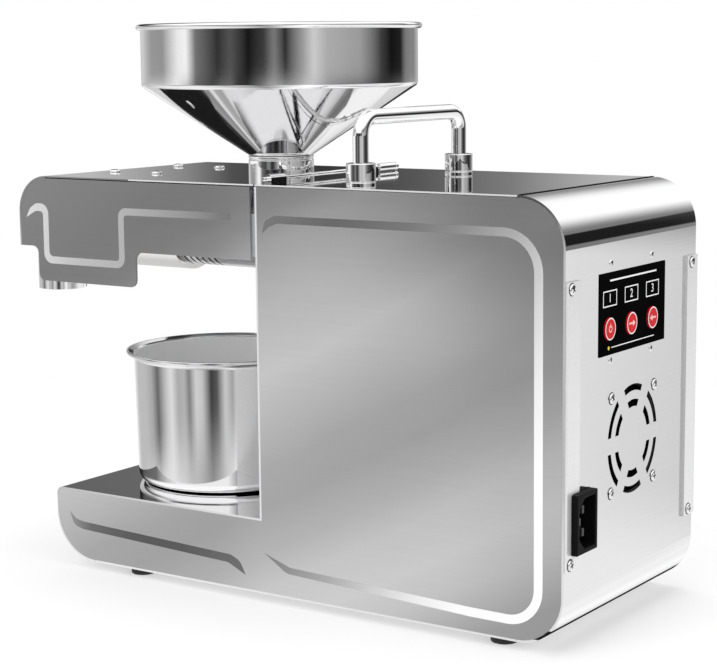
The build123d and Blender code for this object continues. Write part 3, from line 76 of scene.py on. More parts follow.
class Signal:
    """A shader socket that takes part in Python arithmetic."""

    def __init__(self, shader: "Shader", socket: bpy.types.NodeSocket) -> None:
        """Wraps one output socket of a shader."""
        self.shader = shader
        self.socket = socket

    def math(self, operation: str, *values: "Number", first: "Optional[Number]" = None) -> "Signal":
        """Adds a Math node.

        Args:
            operation: the Math node's operation.
            values: the operands that follow this signal.
            first: an operand that goes before this signal instead.

        Returns:
            The node's result.
        """
        values = (self, *values) if first is None else (first, self, *values)
        node = self.shader.add("ShaderNodeMath", {"operation": operation}, dict(enumerate(values)))
        return Signal(self.shader, node.outputs[0])

    def __add__(self, other: "Number") -> "Signal":
        """This signal plus another value."""
        return self.math("ADD", other)

    __radd__ = __add__

    def __sub__(self, other: "Number") -> "Signal":
        """This signal less another value."""
        return self.math("SUBTRACT", other)

    def __rsub__(self, other: "Number") -> "Signal":
        """Another value less this signal."""
        return self.math("SUBTRACT", first=other)

    def __mul__(self, other: "Number") -> "Signal":
        """This signal times another value."""
        return self.math("MULTIPLY", other)

    __rmul__ = __mul__

    def __truediv__(self, other: "Number") -> "Signal":
        """This signal divided by another value."""
        return self.math("DIVIDE", other)

    def __pow__(self, other: "Number") -> "Signal":
        """This signal to a power."""
        return self.math("POWER", other)

    def ramp(self, start: float, end: float) -> "Signal":
        """Goes smoothly from 0 at start to 1 at end.

        Args:
            start: the value that becomes 0.
            end: the value that becomes 1.

        Returns:
            The eased signal.
        """
        node = self.shader.add(
            "ShaderNodeMapRange",
            {"interpolation_type": "SMOOTHSTEP"},
            {"Value": self, "From Min": start, "From Max": end},
        )
        return Signal(self.shader, node.outputs["Result"])

    def stops(self, *stops: tuple[float, float]) -> "Signal":
        """Reads this signal through a grey ramp.

        Args:
            stops: pairs of place (0 to 1) and tone.

        Returns:
            The tone.
        """
        node = self.shader.add("ShaderNodeValToRGB", {"stops": stops}, {"Fac": self})
        return Signal(self.shader, node.outputs["Color"])

    def over(self, tones: "Stops") -> "Signal":
        """Reads this signal, in metres, through a grey ramp whose places are millimetres.

        Args:
            tones: pairs of place and tone, from the lowest place to the highest.

        Returns:
            The tone.
        """
        start, length = tones[0][0], tones[-1][0] - tones[0][0]
        share = (self / MM - start) / length
        return share.stops(*(((place - start) / length, tone) for place, tone in tones))


Number = Union[Signal, float, int]
Colour = tuple[float, float, float]
Stops = tuple[tuple[float, float], ...]


class Shader:
    """Builds the nodes of one material or world."""

    def __init__(self, tree: bpy.types.NodeTree) -> None:
        """Starts from an empty tree."""
        self.tree = tree
        tree.nodes.clear()

    def add(
        self, kind: str, settings: Optional[dict[str, Any]] = None,
        sockets: Optional[dict[Any, Any]] = None,
    ) -> bpy.types.Node:
        """Adds a node.

        Args:
            kind: the node's type.
            settings: its properties, set first; "stops" fills a ramp.
            sockets: values or signals by socket name or number.

        Returns:
            The node.
        """
        node = self.tree.nodes.new(kind)
        for name, value in (settings or {}).items():
            if name == "stops":
                self._fill_ramp(node.color_ramp, value)
            else:
                setattr(node, name, value)
        for key, value in (sockets or {}).items():
            if isinstance(value, Signal):
                self.tree.links.new(value.socket, node.inputs[key])
            elif isinstance(value, tuple) and len(value) == 3 and node.inputs[key].type == "RGBA":
                node.inputs[key].default_value = (*value, 1.0)
            else:
                node.inputs[key].default_value = value
        return node

    @staticmethod
    def _fill_ramp(ramp: bpy.types.ColorRamp, stops: Iterable[tuple[float, float]]) -> None:
        """Gives a ramp its grey stops.

        Args:
            ramp: a new ramp, which has two stops.
            stops: pairs of place (0 to 1) and tone.
        """
        elements = ramp.elements
        for index, (place, tone) in enumerate(stops):
            element = elements[index] if index < 2 else elements.new(place)
            element.position = place
            element.color = (tone, tone, tone, 1.0)

    def out(self, node: bpy.types.Node, name: Union[str, int] = 0) -> Signal:
        """One output of a node as a signal."""
        return Signal(self, node.outputs[name])

    def place(self) -> Signal:
        """The point in object coordinates, which are the part's frame in metres."""
        return self.out(self.add("ShaderNodeTexCoord"), "Object")

    def parts(self, vector: Signal) -> tuple[Signal, Signal, Signal]:
        """The X, Y and Z of a vector."""
        node = self.add("ShaderNodeSeparateXYZ", sockets={0: vector})
        return tuple(Signal(self, socket) for socket in node.outputs)

    def stretched(self, vector: Signal, scale: tuple[float, float, float]) -> Signal:
        """The vector with each axis scaled."""
        node = self.add("ShaderNodeMapping", sockets={"Vector": vector, "Scale": scale})
        return self.out(node)

    def noise(self, vector: Signal, scale: float, detail: float = 2.0, rough: float = 0.5) -> Signal:
        """Cloudy noise from 0 to 1.

        Args:
            vector: where it is read.
            scale: its frequency.
            detail: its octaves.
            rough: how strong the finer octaves are.

        Returns:
            The noise.
        """
        sockets = {"Vector": vector, "Scale": scale, "Detail": detail, "Roughness": rough}
        return self.out(self.add("ShaderNodeTexNoise", sockets=sockets))

    def blend(self, factor: Number, one: Union[Colour, Signal], two: Union[Colour, Signal]) -> Signal:
        """Mixes two colours.

        Args:
            factor: 0 gives the first colour and 1 the second.
            one: the first colour.
            two: the second colour.

        Returns:
            The mixed colour.
        """
        node = self.add("ShaderNodeMix", {"data_type": "RGBA"}, {0: factor, 6: one, 7: two})
        return self.out(node, 2)

    def bump(self, height: Signal, strength: float, distance: float = FINE_RELIEF) -> Signal:
        """A normal that follows a height.

        Args:
            height: the height, about 0 to 1.
            strength: how much of it shows.
            distance: the height in metres.

        Returns:
            The normal.
        """
        sockets = {"Height": height, "Strength": strength, "Distance": distance}
        return self.out(self.add("ShaderNodeBump", sockets=sockets))

    def surface(self, **sockets: Any) -> None:
        """Ends the material in one Principled shader.

        Args:
            sockets: its sockets by name, with underscores for spaces.
        """
        named = {name.replace("_", " "): value for name, value in sockets.items()}
        node = self.add("ShaderNodeBsdfPrincipled", sockets=named)
        self.add("ShaderNodeOutputMaterial", sockets={"Surface": self.out(node)})


# Finishes


class Grain(Enum):
    """Which way a brushed finish runs; each value stretches the noise along that axis."""

    ALONG_X = (6.0, 900.0, 900.0)
    ALONG_Y = (900.0, 6.0, 900.0)
    ROUND_Z = (420.0, 420.0, 900.0)
    EVEN = (260.0, 260.0, 260.0)


@dataclass(frozen=True)
class Finish:
    """A finish that makes its own material once."""

    name: str

    def material(self) -> bpy.types.Material:
        """Finds the finish's material, or makes it at its first use.

        Returns:
            The material.
        """
        found = bpy.data.materials.get(self.name)
        if found is None:
            found = bpy.data.materials.new(self.name)
            found.use_nodes = True
            self.paint(Shader(found.node_tree))
        return found

    def paint(self, shader: Shader) -> None:
        """Builds the material's nodes."""
        raise NotImplementedError


@dataclass(frozen=True)
class Metal(Finish):
    """Bare or plated metal with fine brushing, smudges and a little wear."""

    tone: Colour = (0.6, 0.6, 0.61)
    roughness: float = 0.2
    grain: Grain = Grain.EVEN
    streak: float = 0.04
    smudge: float = 0.05
    relief: float = 0.02
    metal: float = 1.0
    shadow_line: Optional[tuple[float, float]] = None
    shadow_edge: float = 0.5

    def paint(self, shader: Shader) -> None:
        """Brushing varies tone and gloss, and a shadow line runs between two heights in millimetres.

        Args:
            shader: the material's nodes.
        """
        point = shader.place()
        brushing = shader.noise(shader.stretched(point, self.grain.value), 1.0, 4.0, 0.6)
        smudges = shader.noise(point, 22.0, 3.0)
        dark = tuple(channel * (1 - 2 * self.streak) for channel in self.tone)
        light = tuple(min(1.0, channel * (1 + self.streak)) for channel in self.tone)
        gloss = self.roughness + (brushing - 0.5) * self.streak + (smudges - 0.5) * self.smudge
        tone, metal, shine = shader.blend(brushing, dark, light), self.metal, 0.5
        if self.shadow_line:
            low, high = self.shadow_line
            height = shader.parts(point)[2] / MM
            inside = height.ramp(low - self.shadow_edge, low)
            inside = inside * (1 - height.ramp(high, high + self.shadow_edge))
            tone, metal, shine = shader.blend(inside, tone, SHADOW_TONE), 1 - inside, 0.0
        shader.surface(
            Base_Color=tone,
            Metallic=metal,
            Specular_IOR_Level=shine,
            Roughness=gloss.math("MAXIMUM", LEAST_ROUGHNESS),
            Normal=shader.bump(brushing, self.relief),
        )


@dataclass(frozen=True)
class SatinSheet(Finish):
    """Satin stainless sheet whose base colour carries a painted reflection, a broad diagonal sheen, and
    painted shade; its shaded ranges are in metres.
    """

    painted_sheen: Stops = ()
    lean: float = -0.52
    drift: float = 0.02
    roughness: float = 0.34
    # Painted shade that darkens the painted sheen at the upper rear corner, along the rear and on the
    # nose side
    corner_shade: float = 0.5
    corner_x: tuple[float, float] = (0.04, 0.17)
    corner_z: tuple[float, float] = (0.15, 0.215)
    rear_shade: float = 0.08
    rear_x: tuple[float, float] = (0.13, 0.19)
    arm_shade: float = 0.1
    arm_x: tuple[float, float] = (-0.02, 0.02)

    def paint(self, shader: Shader) -> None:
        """Fine brushing along the sheet over the painted sheen, which painted shade weakens at the upper
        rear, along the rear and towards the nose.

        Args:
            shader: the material's nodes.
        """
        point = shader.place()
        x, _, z = shader.parts(point)
        brushing = shader.noise(shader.stretched(point, Grain.ALONG_X.value), 1.0, 5.0, 0.65)
        clouds = shader.noise(point, 7.0)
        slant = z + x * self.lean + (clouds - 0.5) * self.drift
        # Painted shade over the painted reflection
        corner = self.corner_shade * x.ramp(*self.corner_x) * z.ramp(*self.corner_z)
        rear = self.rear_shade * x.ramp(*self.rear_x)
        body = 1 - self.arm_shade + x.ramp(*self.arm_x) * self.arm_shade
        tone = slant.over(self.painted_sheen) * (1 - corner) * (1 - rear) * body
        shader.surface(
            Base_Color=tone * (0.96 + brushing * 0.08),
            Metallic=1.0,
            Roughness=self.roughness + (brushing - 0.5) * 0.06 + (clouds - 0.5) * 0.06,
            Normal=shader.bump(brushing, 0.03),
        )


@dataclass(frozen=True)
class Frost(Finish):
    """Etched band whose grey, painted light and shade, changes along a slanting line."""

    tones: Stops = ()
    lean: float = 0.0
    metal: float = 0.1

    def paint(self, shader: Shader) -> None:
        """A matt band with a fine sandy bump.

        Args:
            shader: the material's nodes.
        """
        point = shader.place()
        x, _, z = shader.parts(point)
        sand = shader.noise(point, 2600.0, 2.0, 0.7)
        shader.surface(
            Base_Color=(x + z * self.lean).over(self.tones) * (0.97 + sand * 0.06),
            Metallic=self.metal,
            Roughness=0.5 + (sand - 0.5) * 0.2,
            Normal=shader.bump(sand, 0.1),
        )


@dataclass(frozen=True)
class Moulded(Finish):
    """Plastic, rubber, paint or ink: a plain colour with fine mottling and texture."""

    colour: Colour = (0.02, 0.02, 0.02)
    roughness: float = 0.4
    texture: float = 0.05
    texture_scale: float = 900.0
    shine: float = 0.5

    def paint(self, shader: Shader) -> None:
        """Mottled colour, mottled gloss and a fine leathery bump.

        Args:
            shader: the material's nodes.
        """
        point = shader.place()
        fine = shader.noise(point, self.texture_scale, 3.0)
        broad = shader.noise(point, 35.0)
        deep = tuple(channel * 0.8 for channel in self.colour)
        pale = tuple(min(1.0, channel * 1.12 + 0.002) for channel in self.colour)
        shader.surface(
            Base_Color=shader.blend(broad, deep, pale),
            Roughness=self.roughness + (fine - 0.5) * 0.12 + (broad - 0.5) * 0.08,
            Specular_IOR_Level=self.shine,
            Normal=shader.bump(fine, self.texture, 2 * FINE_RELIEF),
        )


@dataclass(frozen=True)
class Board(Finish):
    """Circuit board lacquer with a faint net of tracks."""

    colour: Colour = (0.02, 0.16, 0.06)
    track: Colour = (0.05, 0.32, 0.12)

    def paint(self, shader: Shader) -> None:
        """Tracks from a brick pattern, under glossy lacquer.

        Args:
            shader: the material's nodes.
        """
        sockets = {"Vector": shader.place(), "Scale": 90.0, "Mortar Size": 0.05, "Brick Width": 0.7}
        net = shader.add("ShaderNodeTexBrick", {"offset": 0.35}, sockets)
        tracks = shader.out(net, "Fac")
        shader.surface(
            Base_Color=shader.blend(tracks, self.colour, self.track),
            Roughness=0.3 + tracks * 0.1,
            Normal=shader.bump(tracks, 0.2),
        )


# Base colour of the bright sheet
BRIGHT = (0.9, 0.9, 0.905)

# Painted sheen of the satin plates, a reflection painted into their base colour, by the slanting height
# in millimetres
SATIN = SatinSheet("satin_steel_painted_sheen", painted_sheen=(
    (-100, 0.5), (-75, 0.52), (-45, 0.78), (-25, 0.86), (0, 0.8), (20, 0.66), (45, 0.56), (65, 0.6),
    (90, 0.76), (115, 0.92), (150, 0.83), (185, 0.65), (200, 0.5), (216, 0.42), (235, 0.4),
    (250, 0.4), (300, 0.46),
))

# Metals: name, tone, roughness, grain, streak, smudge, relief, and metal where it is under 1
MIRROR = Metal("mirror_steel_sheet", BRIGHT, 0.05, Grain.ALONG_X, 0.02, 0.02, 0.004)
POLISHED = Metal(
    "polished_steel_sheet", BRIGHT, 0.04, Grain.ALONG_Y, 0.02, 0.02, 0.005, shadow_line=(8.0, 13.3)
)
SOFT_SHEET = Metal("soft_brushed_sheet", BRIGHT, 0.32, Grain.ALONG_Y, 0.03, 0.04, 0.02, 0.6)
SPUN = Metal("spun_polished_steel", BRIGHT, 0.045, Grain.ROUND_Z, 0.02, 0.03, 0.006)
# The cup's inside: a paler, nearly matt copy of the steel, which paints light into the shaded inside
CUP_INSIDE_PAINTED_LIGHT = Metal("cup_inside_painted_light", (0.97, 0.97, 0.975), 0.4, Grain.ROUND_Z, 0.01, 0.05, 0.01, 0.1)
CHROME = Metal("bright_chrome", (0.94, 0.94, 0.945), 0.03, Grain.EVEN, 0.01, 0.02, 0.0)
SCREW_CHROME = Metal("nickel_screws", (0.93, 0.93, 0.93), 0.05, Grain.EVEN, 0.03, 0.05, 0.02, 0.95)
GALVANISED = Metal("galvanised_steel", (0.6, 0.61, 0.63), 0.34, Grain.EVEN, 0.1, 0.2, 0.05)
BARREL_STEEL = Metal("machined_barrel_steel", (0.85, 0.85, 0.86), 0.14, Grain.ALONG_Y, 0.04, 0.06, 0.02)
HEATER_STEEL = Metal("heater_sheath_steel", (0.88, 0.87, 0.86), 0.16, Grain.ALONG_Y, 0.04, 0.06, 0.02)
CAST = Metal("cast_alloy", (0.5, 0.5, 0.51), 0.45, Grain.EVEN, 0.1, 0.15, 0.25)
GEAR_STEEL = Metal("hobbed_gear_steel", (0.5, 0.5, 0.52), 0.28, Grain.ALONG_X, 0.06, 0.1, 0.05)
BRASS = Metal("turned_brass", (0.8, 0.6, 0.28), 0.2, Grain.EVEN, 0.04, 0.08, 0.02)

# Plastics, rubber, paint and ink: name, colour, roughness, texture and its scale
MOTOR_PAINT = Moulded("motor_can_paint", (0.06, 0.065, 0.07), 0.35, 0.12, 500.0)
MAGNET = Moulded("sintered_magnet", (0.08, 0.08, 0.085), 0.6, 0.3, 700.0)
PANEL_BLACK = Moulded("gloss_panel_black", (0.002, 0.002, 0.0022), 0.3, 0.01, 400.0, shine=0.0)
BLACK = Moulded("moulded_black_plastic", (0.005, 0.005, 0.0055), 0.4, 0.08, shine=0.04)
RUBBER = Moulded("foot_rubber", (0.015, 0.015, 0.015), 0.7, 0.3, 500.0)
RED = Moulded("red_key_plastic", (0.6, 0.005, 0.01), 0.35, 0.02, 700.0, shine=0.12)
WHITE_INK = Moulded("white_print", (0.85, 0.85, 0.85), 0.5, 0.05)
PALE_INK = Moulded("pale_pink_print", (0.95, 0.5, 0.47), 0.5, 0.05)
# Black for painted shade: in the top seam, under the arm cover's edges, in screw recesses and round the
# rear screws
SHADE_BLACK = Moulded("seam_shadow_black", (0.004, 0.004, 0.004), 0.6, 0.05, shine=0.1)
YELLOW_INK = Moulded("yellow_print", (0.8, 0.62, 0.06), 0.5, 0.05)
BOARD = Board("circuit_board_lacquer")

# Frosted bands, whose tones, painted light and shade, run from nose to rear, by millimetres
ARM_FROST = Frost("arm_frosted_band", (
    (-152, 0.6), (-110, 0.42), (-75, 0.36), (-30, 0.24), (-5, 0.15), (15, 0.14),
))
BODY_FROST = Frost("body_frosted_band", (
    (-100, 0.14), (-60, 0.1), (-15, 0.14), (17, 0.21), (50, 0.34), (75, 0.5), (107, 0.72), (136, 0.85),
    (200, 0.85),
), lean=-0.6)
BASE_FROST = Frost("base_frosted_band", (
    (-126, 0.25), (-108, 0.11), (-77, 0.07), (-40, 0.07), (5, 0.12),
))

# Nickel pins with painted shade, dark in their cavity, and painted light, paler at their tips
INLET_PINS = Frost("inlet_pin_painted_shade", (
    (180, 0.03), (206.8, 0.03), (207.1, 0.07), (209, 0.07),
), metal=0.0)


# Mesh making, in millimetres in the part's frame


class Axis(Enum):
    """A direction of the part's frame."""

    X = (1.0, 0.0, 0.0)
    Y = (0.0, 1.0, 0.0)
    Z = (0.0, 0.0, 1.0)

    @property
    def vector(self) -> Vector:
        """The direction as a vector."""
        return Vector(self.value)

    def frame(self, centre: Iterable[float]) -> Matrix:
        """Turns local Z to this axis and moves the origin to centre."""
        turn = self.vector.to_track_quat("Z", "Y").to_matrix().to_4x4()
        return Matrix.Translation(Vector(centre)) @ turn


@dataclass(frozen=True)
class Run:
    """A straight stretch of a pipe."""

    length: float


@dataclass(frozen=True)
class Bend:
    """A quarter turn of a pipe towards a direction."""

    radius: float
    toward: tuple[float, float, float]


Point = tuple[float, ...]


def verts_of(made: Iterable[Any]) -> list[BMVert]:
    """The vertices in what an operator made."""
    return [item for item in made if isinstance(item, BMVert)]


class Form:
    """One closed shape in the making."""

    def __init__(self) -> None:
        """Starts empty."""
        self.mesh = bmesh.new()

    def wire(self, points: Iterable[Point], closed: bool) -> list[BMEdge]:
        """Draws a line of edges in the XZ plane and rounds its corners.

        Args:
            points: (x, z) or (x, z, corner radius).
            closed: whether the last point joins the first.

        Returns:
            Every edge of the line.
        """
        points = list(points)
        verts = [self.mesh.verts.new((point[0], 0.0, point[1])) for point in points]
        for one, two in zip(verts, verts[1:] + verts[:1] * closed):
            self.mesh.edges.new((one, two))
        for vert, point in zip(verts, points):
            if len(point) > 2 and point[2] > 0:
                self._round_corner(vert, point[2])
        return self.mesh.edges[:]

    def _round_corner(self, vert: BMVert, radius: float) -> None:
        """Rounds one corner of a line of edges.

        Args:
            vert: the corner.
            radius: the radius that it gets.
        """
        arms = [(edge.other_vert(vert).co - vert.co).normalized() for edge in vert.link_edges]
        half = arms[0].angle(arms[1]) / 2
        steps = max(3, round(math.degrees(math.pi - 2 * half) / 9))
        bmesh.ops.bevel(
            self.mesh, geom=[vert], offset=radius / math.tan(half), offset_type="OFFSET",
            segments=steps, profile=0.5, affect="VERTICES", material=-1, clamp_overlap=False,
        )

    def lathe(self, points: Iterable[Point], steps: int, closed: bool = False) -> "Form":
        """Turns a profile about local Z.

        Args:
            points: (radius, height) or (radius, height, corner radius).
            steps: faces round the turn.
            closed: whether the profile is a ring's cross-section.

        Returns:
            This form.
        """
        self.wire(points, closed)
        return self.full_turn(steps)

    def full_turn(self, steps: int) -> "Form":
        """Spins the lines drawn so far once round local Z.

        Args:
            steps: faces round the turn.

        Returns:
            This form.
        """
        bmesh.ops.spin(
            self.mesh, geom=self.mesh.verts[:] + self.mesh.edges[:], cent=(0, 0, 0), axis=(0, 0, 1),
            dvec=(0, 0, 0), angle=math.tau, steps=steps, use_merge=True, use_duplicate=False,
        )
        return self.sound()

    def slab(self, points: Iterable[Point], y_low: float, y_high: float, edge: float = 0.0) -> "Form":
        """Makes a plate from an outline in the XZ plane.

        Args:
            points: (x, z) or (x, z, corner radius).
            y_low: one face.
            y_high: the other face.
            edge: width of the bevel round both faces.

        Returns:
            This form.
        """
        edges = self.wire(points, closed=True)
        face = bmesh.ops.contextual_create(self.mesh, geom=edges)["faces"][0]
        bmesh.ops.translate(self.mesh, vec=(0, y_low, 0), verts=self.mesh.verts[:])
        self.thicken([face], (0, y_high - y_low, 0))
        self.sound()
        return self.soften(edge) if edge else self

    def thicken(self, faces: list[BMFace], way: Point) -> None:
        """Extrudes a region of faces.

        Args:
            faces: the region.
            way: how far its far side moves.
        """
        made = bmesh.ops.extrude_face_region(self.mesh, geom=faces)["geom"]
        bmesh.ops.translate(self.mesh, vec=way, verts=verts_of(made))

    def lengthen(self, loop: list[BMEdge]) -> tuple[list[BMVert], list[BMEdge]]:
        """Extrudes a loop of edges without moving it yet.

        Args:
            loop: the loop.

        Returns:
            The new loop's vertices and edges.
        """
        made = bmesh.ops.extrude_edge_only(self.mesh, edges=loop)["geom"]
        verts = verts_of(made)
        new = set(verts)
        return verts, [item for item in made if isinstance(item, BMEdge) and set(item.verts) <= new]

    def box(self, low: Iterable[float], high: Iterable[float], edge: float = 0.0) -> "Form":
        """Makes a block between two corners.

        Args:
            low: the lowest corner.
            high: the highest corner.
            edge: width of its bevels.

        Returns:
            This form.
        """
        low, high = Vector(low), Vector(high)
        verts = bmesh.ops.create_cube(self.mesh, size=1.0)["verts"]
        bmesh.ops.scale(self.mesh, vec=high - low, verts=verts)
        bmesh.ops.translate(self.mesh, vec=(low + high) / 2, verts=verts)
        return self.soften(edge) if edge else self

    def pipe(
        self, radius: float, start: Point, heading: Axis, moves: Iterable[Union[Run, Bend]],
        wall: float = 0.0, sides: int = 40,
    ) -> "Form":
        """Runs a round pipe or rod along straights and bends.

        Args:
            radius: its outer radius.
            start: the middle of its first end.
            heading: the way it sets out.
            moves: its straights and bends.
            wall: its wall, or 0 for a solid rod.
            sides: faces round it.

        Returns:
            This form.
        """
        bmesh.ops.create_circle(self.mesh, cap_ends=False, radius=radius, segments=sides)
        self.moved(heading.frame(start))
        loop = self.mesh.edges[:]
        place, way = Vector(start), heading.vector
        for move in moves:
            if isinstance(move, Run):
                verts, loop = self.lengthen(loop)
                bmesh.ops.translate(self.mesh, vec=way * move.length, verts=verts)
                place = place + way * move.length
                continue
            toward, turn = Vector(move.toward), math.pi / 2
            centre, axis = place + toward * move.radius, way.cross(toward)
            verts = list({vert for edge in loop for vert in edge.verts})
            made = bmesh.ops.spin(
                self.mesh, geom=verts + loop, cent=centre, axis=axis, dvec=(0, 0, 0), angle=turn,
                steps=16, use_merge=False, use_duplicate=False,
            )["geom_last"]
            loop = [item for item in made if isinstance(item, BMEdge)]
            spin = Matrix.Rotation(turn, 3, axis)
            place, way = centre + spin @ (place - centre), spin @ way
        self.sound()
        if wall:
            bmesh.ops.solidify(self.mesh, geom=self.mesh.faces[:], thickness=wall)
        else:
            bmesh.ops.holes_fill(self.mesh, edges=self.mesh.edges[:], sides=0)
        return self.sound()

    def sound(self) -> "Form":
        """Merges doubled points and turns every face outwards.

        Returns:
            This form.
        """
        bmesh.ops.remove_doubles(self.mesh, verts=self.mesh.verts[:], dist=1e-4)
        bmesh.ops.recalc_face_normals(self.mesh, faces=self.mesh.faces[:])
        return self

    def soften(self, width: float, least: float = 50.0, segments: int = 2) -> "Form":
        """Bevels every edge that turns by more than an angle.

        Args:
            width: the bevel's width.
            least: the angle in degrees.
            segments: the bevel's steps.

        Returns:
            This form.
        """
        limit = math.radians(least)
        sharp = [e for e in self.mesh.edges if e.is_manifold and e.calc_face_angle(0.0) > limit]
        bmesh.ops.bevel(
            self.mesh, geom=sharp, offset=width, offset_type="OFFSET", segments=segments,
            profile=0.5, affect="EDGES", material=-1, clamp_overlap=True,
        )
        return self

    def moved(self, matrix: Matrix) -> "Form":
        """Moves or turns the whole form."""
        bmesh.ops.transform(self.mesh, matrix=matrix, verts=self.mesh.verts[:])
        return self

    def with_copies(self, other: "Form", places: Iterable[Matrix] = (Matrix.Identity(4),)) -> "Form":
        """Adds another form at several places, or where it stands.

        Args:
            other: the form to copy, which is used up.
            places: one matrix for each copy.

        Returns:
            This form.
        """
        carrier = bpy.data.meshes.new("carrier")
        for place in places:
            copy = other.mesh.copy()
            bmesh.ops.transform(copy, matrix=place, verts=copy.verts[:])
            copy.to_mesh(carrier)
            copy.free()
            self.mesh.from_mesh(carrier)
        bpy.data.meshes.remove(carrier)
        other.mesh.free()
        return self

    def piece(
        self, name: str, body: str, finish: Finish, slot: str, replaces: Iterable[str] = (),
        sharp: float = 40.0, second_finish: Optional[Finish] = None,
    ) -> None:
        """Turns the form into a finished piece of the press.

        Args:
            name: the piece's name.
            body: the body that it rides on.
            finish: its finish.
            slot: the record's material slot; not used.
            replaces: CAD nodes that it stands for.
            sharp: edges that turn by more than this many degrees stay sharp.
            second_finish: a second finish, for the faces whose material index is 1.
        """
        limit = math.radians(sharp)
        for face in self.mesh.faces:
            face.smooth = True
        for edge in self.mesh.edges:
            edge.smooth = edge.is_manifold and edge.calc_face_angle(0.0) < limit
        bmesh.ops.scale(self.mesh, vec=(MM, MM, MM), verts=self.mesh.verts[:])
        mesh = bpy.data.meshes.new(name)
        self.mesh.to_mesh(mesh)
        self.mesh.free()
        fit_piece(name, mesh, body, finish, replaces)
        if second_finish:
            mesh.materials.append(second_finish.material())


def fit_piece(
    name: str, mesh: bpy.types.Mesh, body: str, finish: Finish, replaces: Iterable[str] = ()
) -> None:
    """Links a mesh as a piece, dresses it and puts it on its body.

    Args:
        name: the piece's name.
        mesh: its mesh, in metres in the part's frame.
        body: the body that it rides on.
        finish: its finish.
        replaces: CAD nodes that it stands for.
    """
    piece = bpy.data.objects.new(name, mesh)
    bpy.context.scene.collection.objects.link(piece)
    mesh.materials.append(finish.material())
    weights = piece.modifiers.new("even_shading", "WEIGHTED_NORMAL")
    weights.keep_sharp = True
    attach(piece, body)
    nodes = list(replaces)
    if nodes:
        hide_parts(*nodes)
    LOG.info("%s rides on %s, %d faces", name, body, len(mesh.polygons))


def limits(node: str) -> tuple[Vector, Vector]:
    """The lowest and highest corner of a CAD node, in millimetres."""
    low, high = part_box(node)
    return low / MM, high / MM


def middle(node: str) -> Vector:
    """The middle of a CAD node's box, in millimetres."""
    low, high = limits(node)
    return (low + high) / 2


def corner_spots(low: Vector, high: Vector, inset: float) -> list[tuple[float, float]]:
    """Sets four places in from the corners of a rectangle.

    Args:
        low: its lowest corner.
        high: its highest corner.
        inset: how far in from both sides they are.

    Returns:
        The places.
    """
    return list(itertools.product(*((start + inset, end - inset) for start, end in zip(low, high))))


def dress(finish: Finish, *nodes: str) -> None:
    """Gives CAD nodes a finish.

    Args:
        finish: the finish.
        nodes: the nodes' names.
    """
    for name in nodes:
        materials = CAD_NODES[name].data.materials
        for index in range(len(materials)):
            materials[index] = finish.material()
        LOG.info("%s keeps its CAD shape", name)


def lettering(name: str, text: str, height: float, centre: Point, finish: Finish) -> None:
    """Prints a number on the rear end.

    Args:
        name: the piece's name.
        text: the number.
        height: its letter height.
        centre: its middle.
        finish: its finish.
    """
    curve = bpy.data.curves.new(name, "FONT")
    curve.body, curve.size, curve.extrude = text, height * TYPE_SIZE, INK
    curve.align_x, curve.align_y = "CENTER", "CENTER"
    holder = bpy.data.objects.new(name + "_text", curve)
    bpy.context.scene.collection.objects.link(holder)
    bpy.context.view_layer.update()
    final = holder.evaluated_get(bpy.context.evaluated_depsgraph_get())
    mesh = bpy.data.meshes.new_from_object(final)
    bpy.data.objects.remove(holder)
    turn = Matrix(((0, 0, 1), (1, 0, 0), (0, 1, 0))).to_4x4()
    mesh.transform(Matrix.Scale(MM, 4) @ Matrix.Translation(Vector(centre)) @ turn)
    fit_piece(name, mesh, HOUSING, finish)


# Sub-assemblies


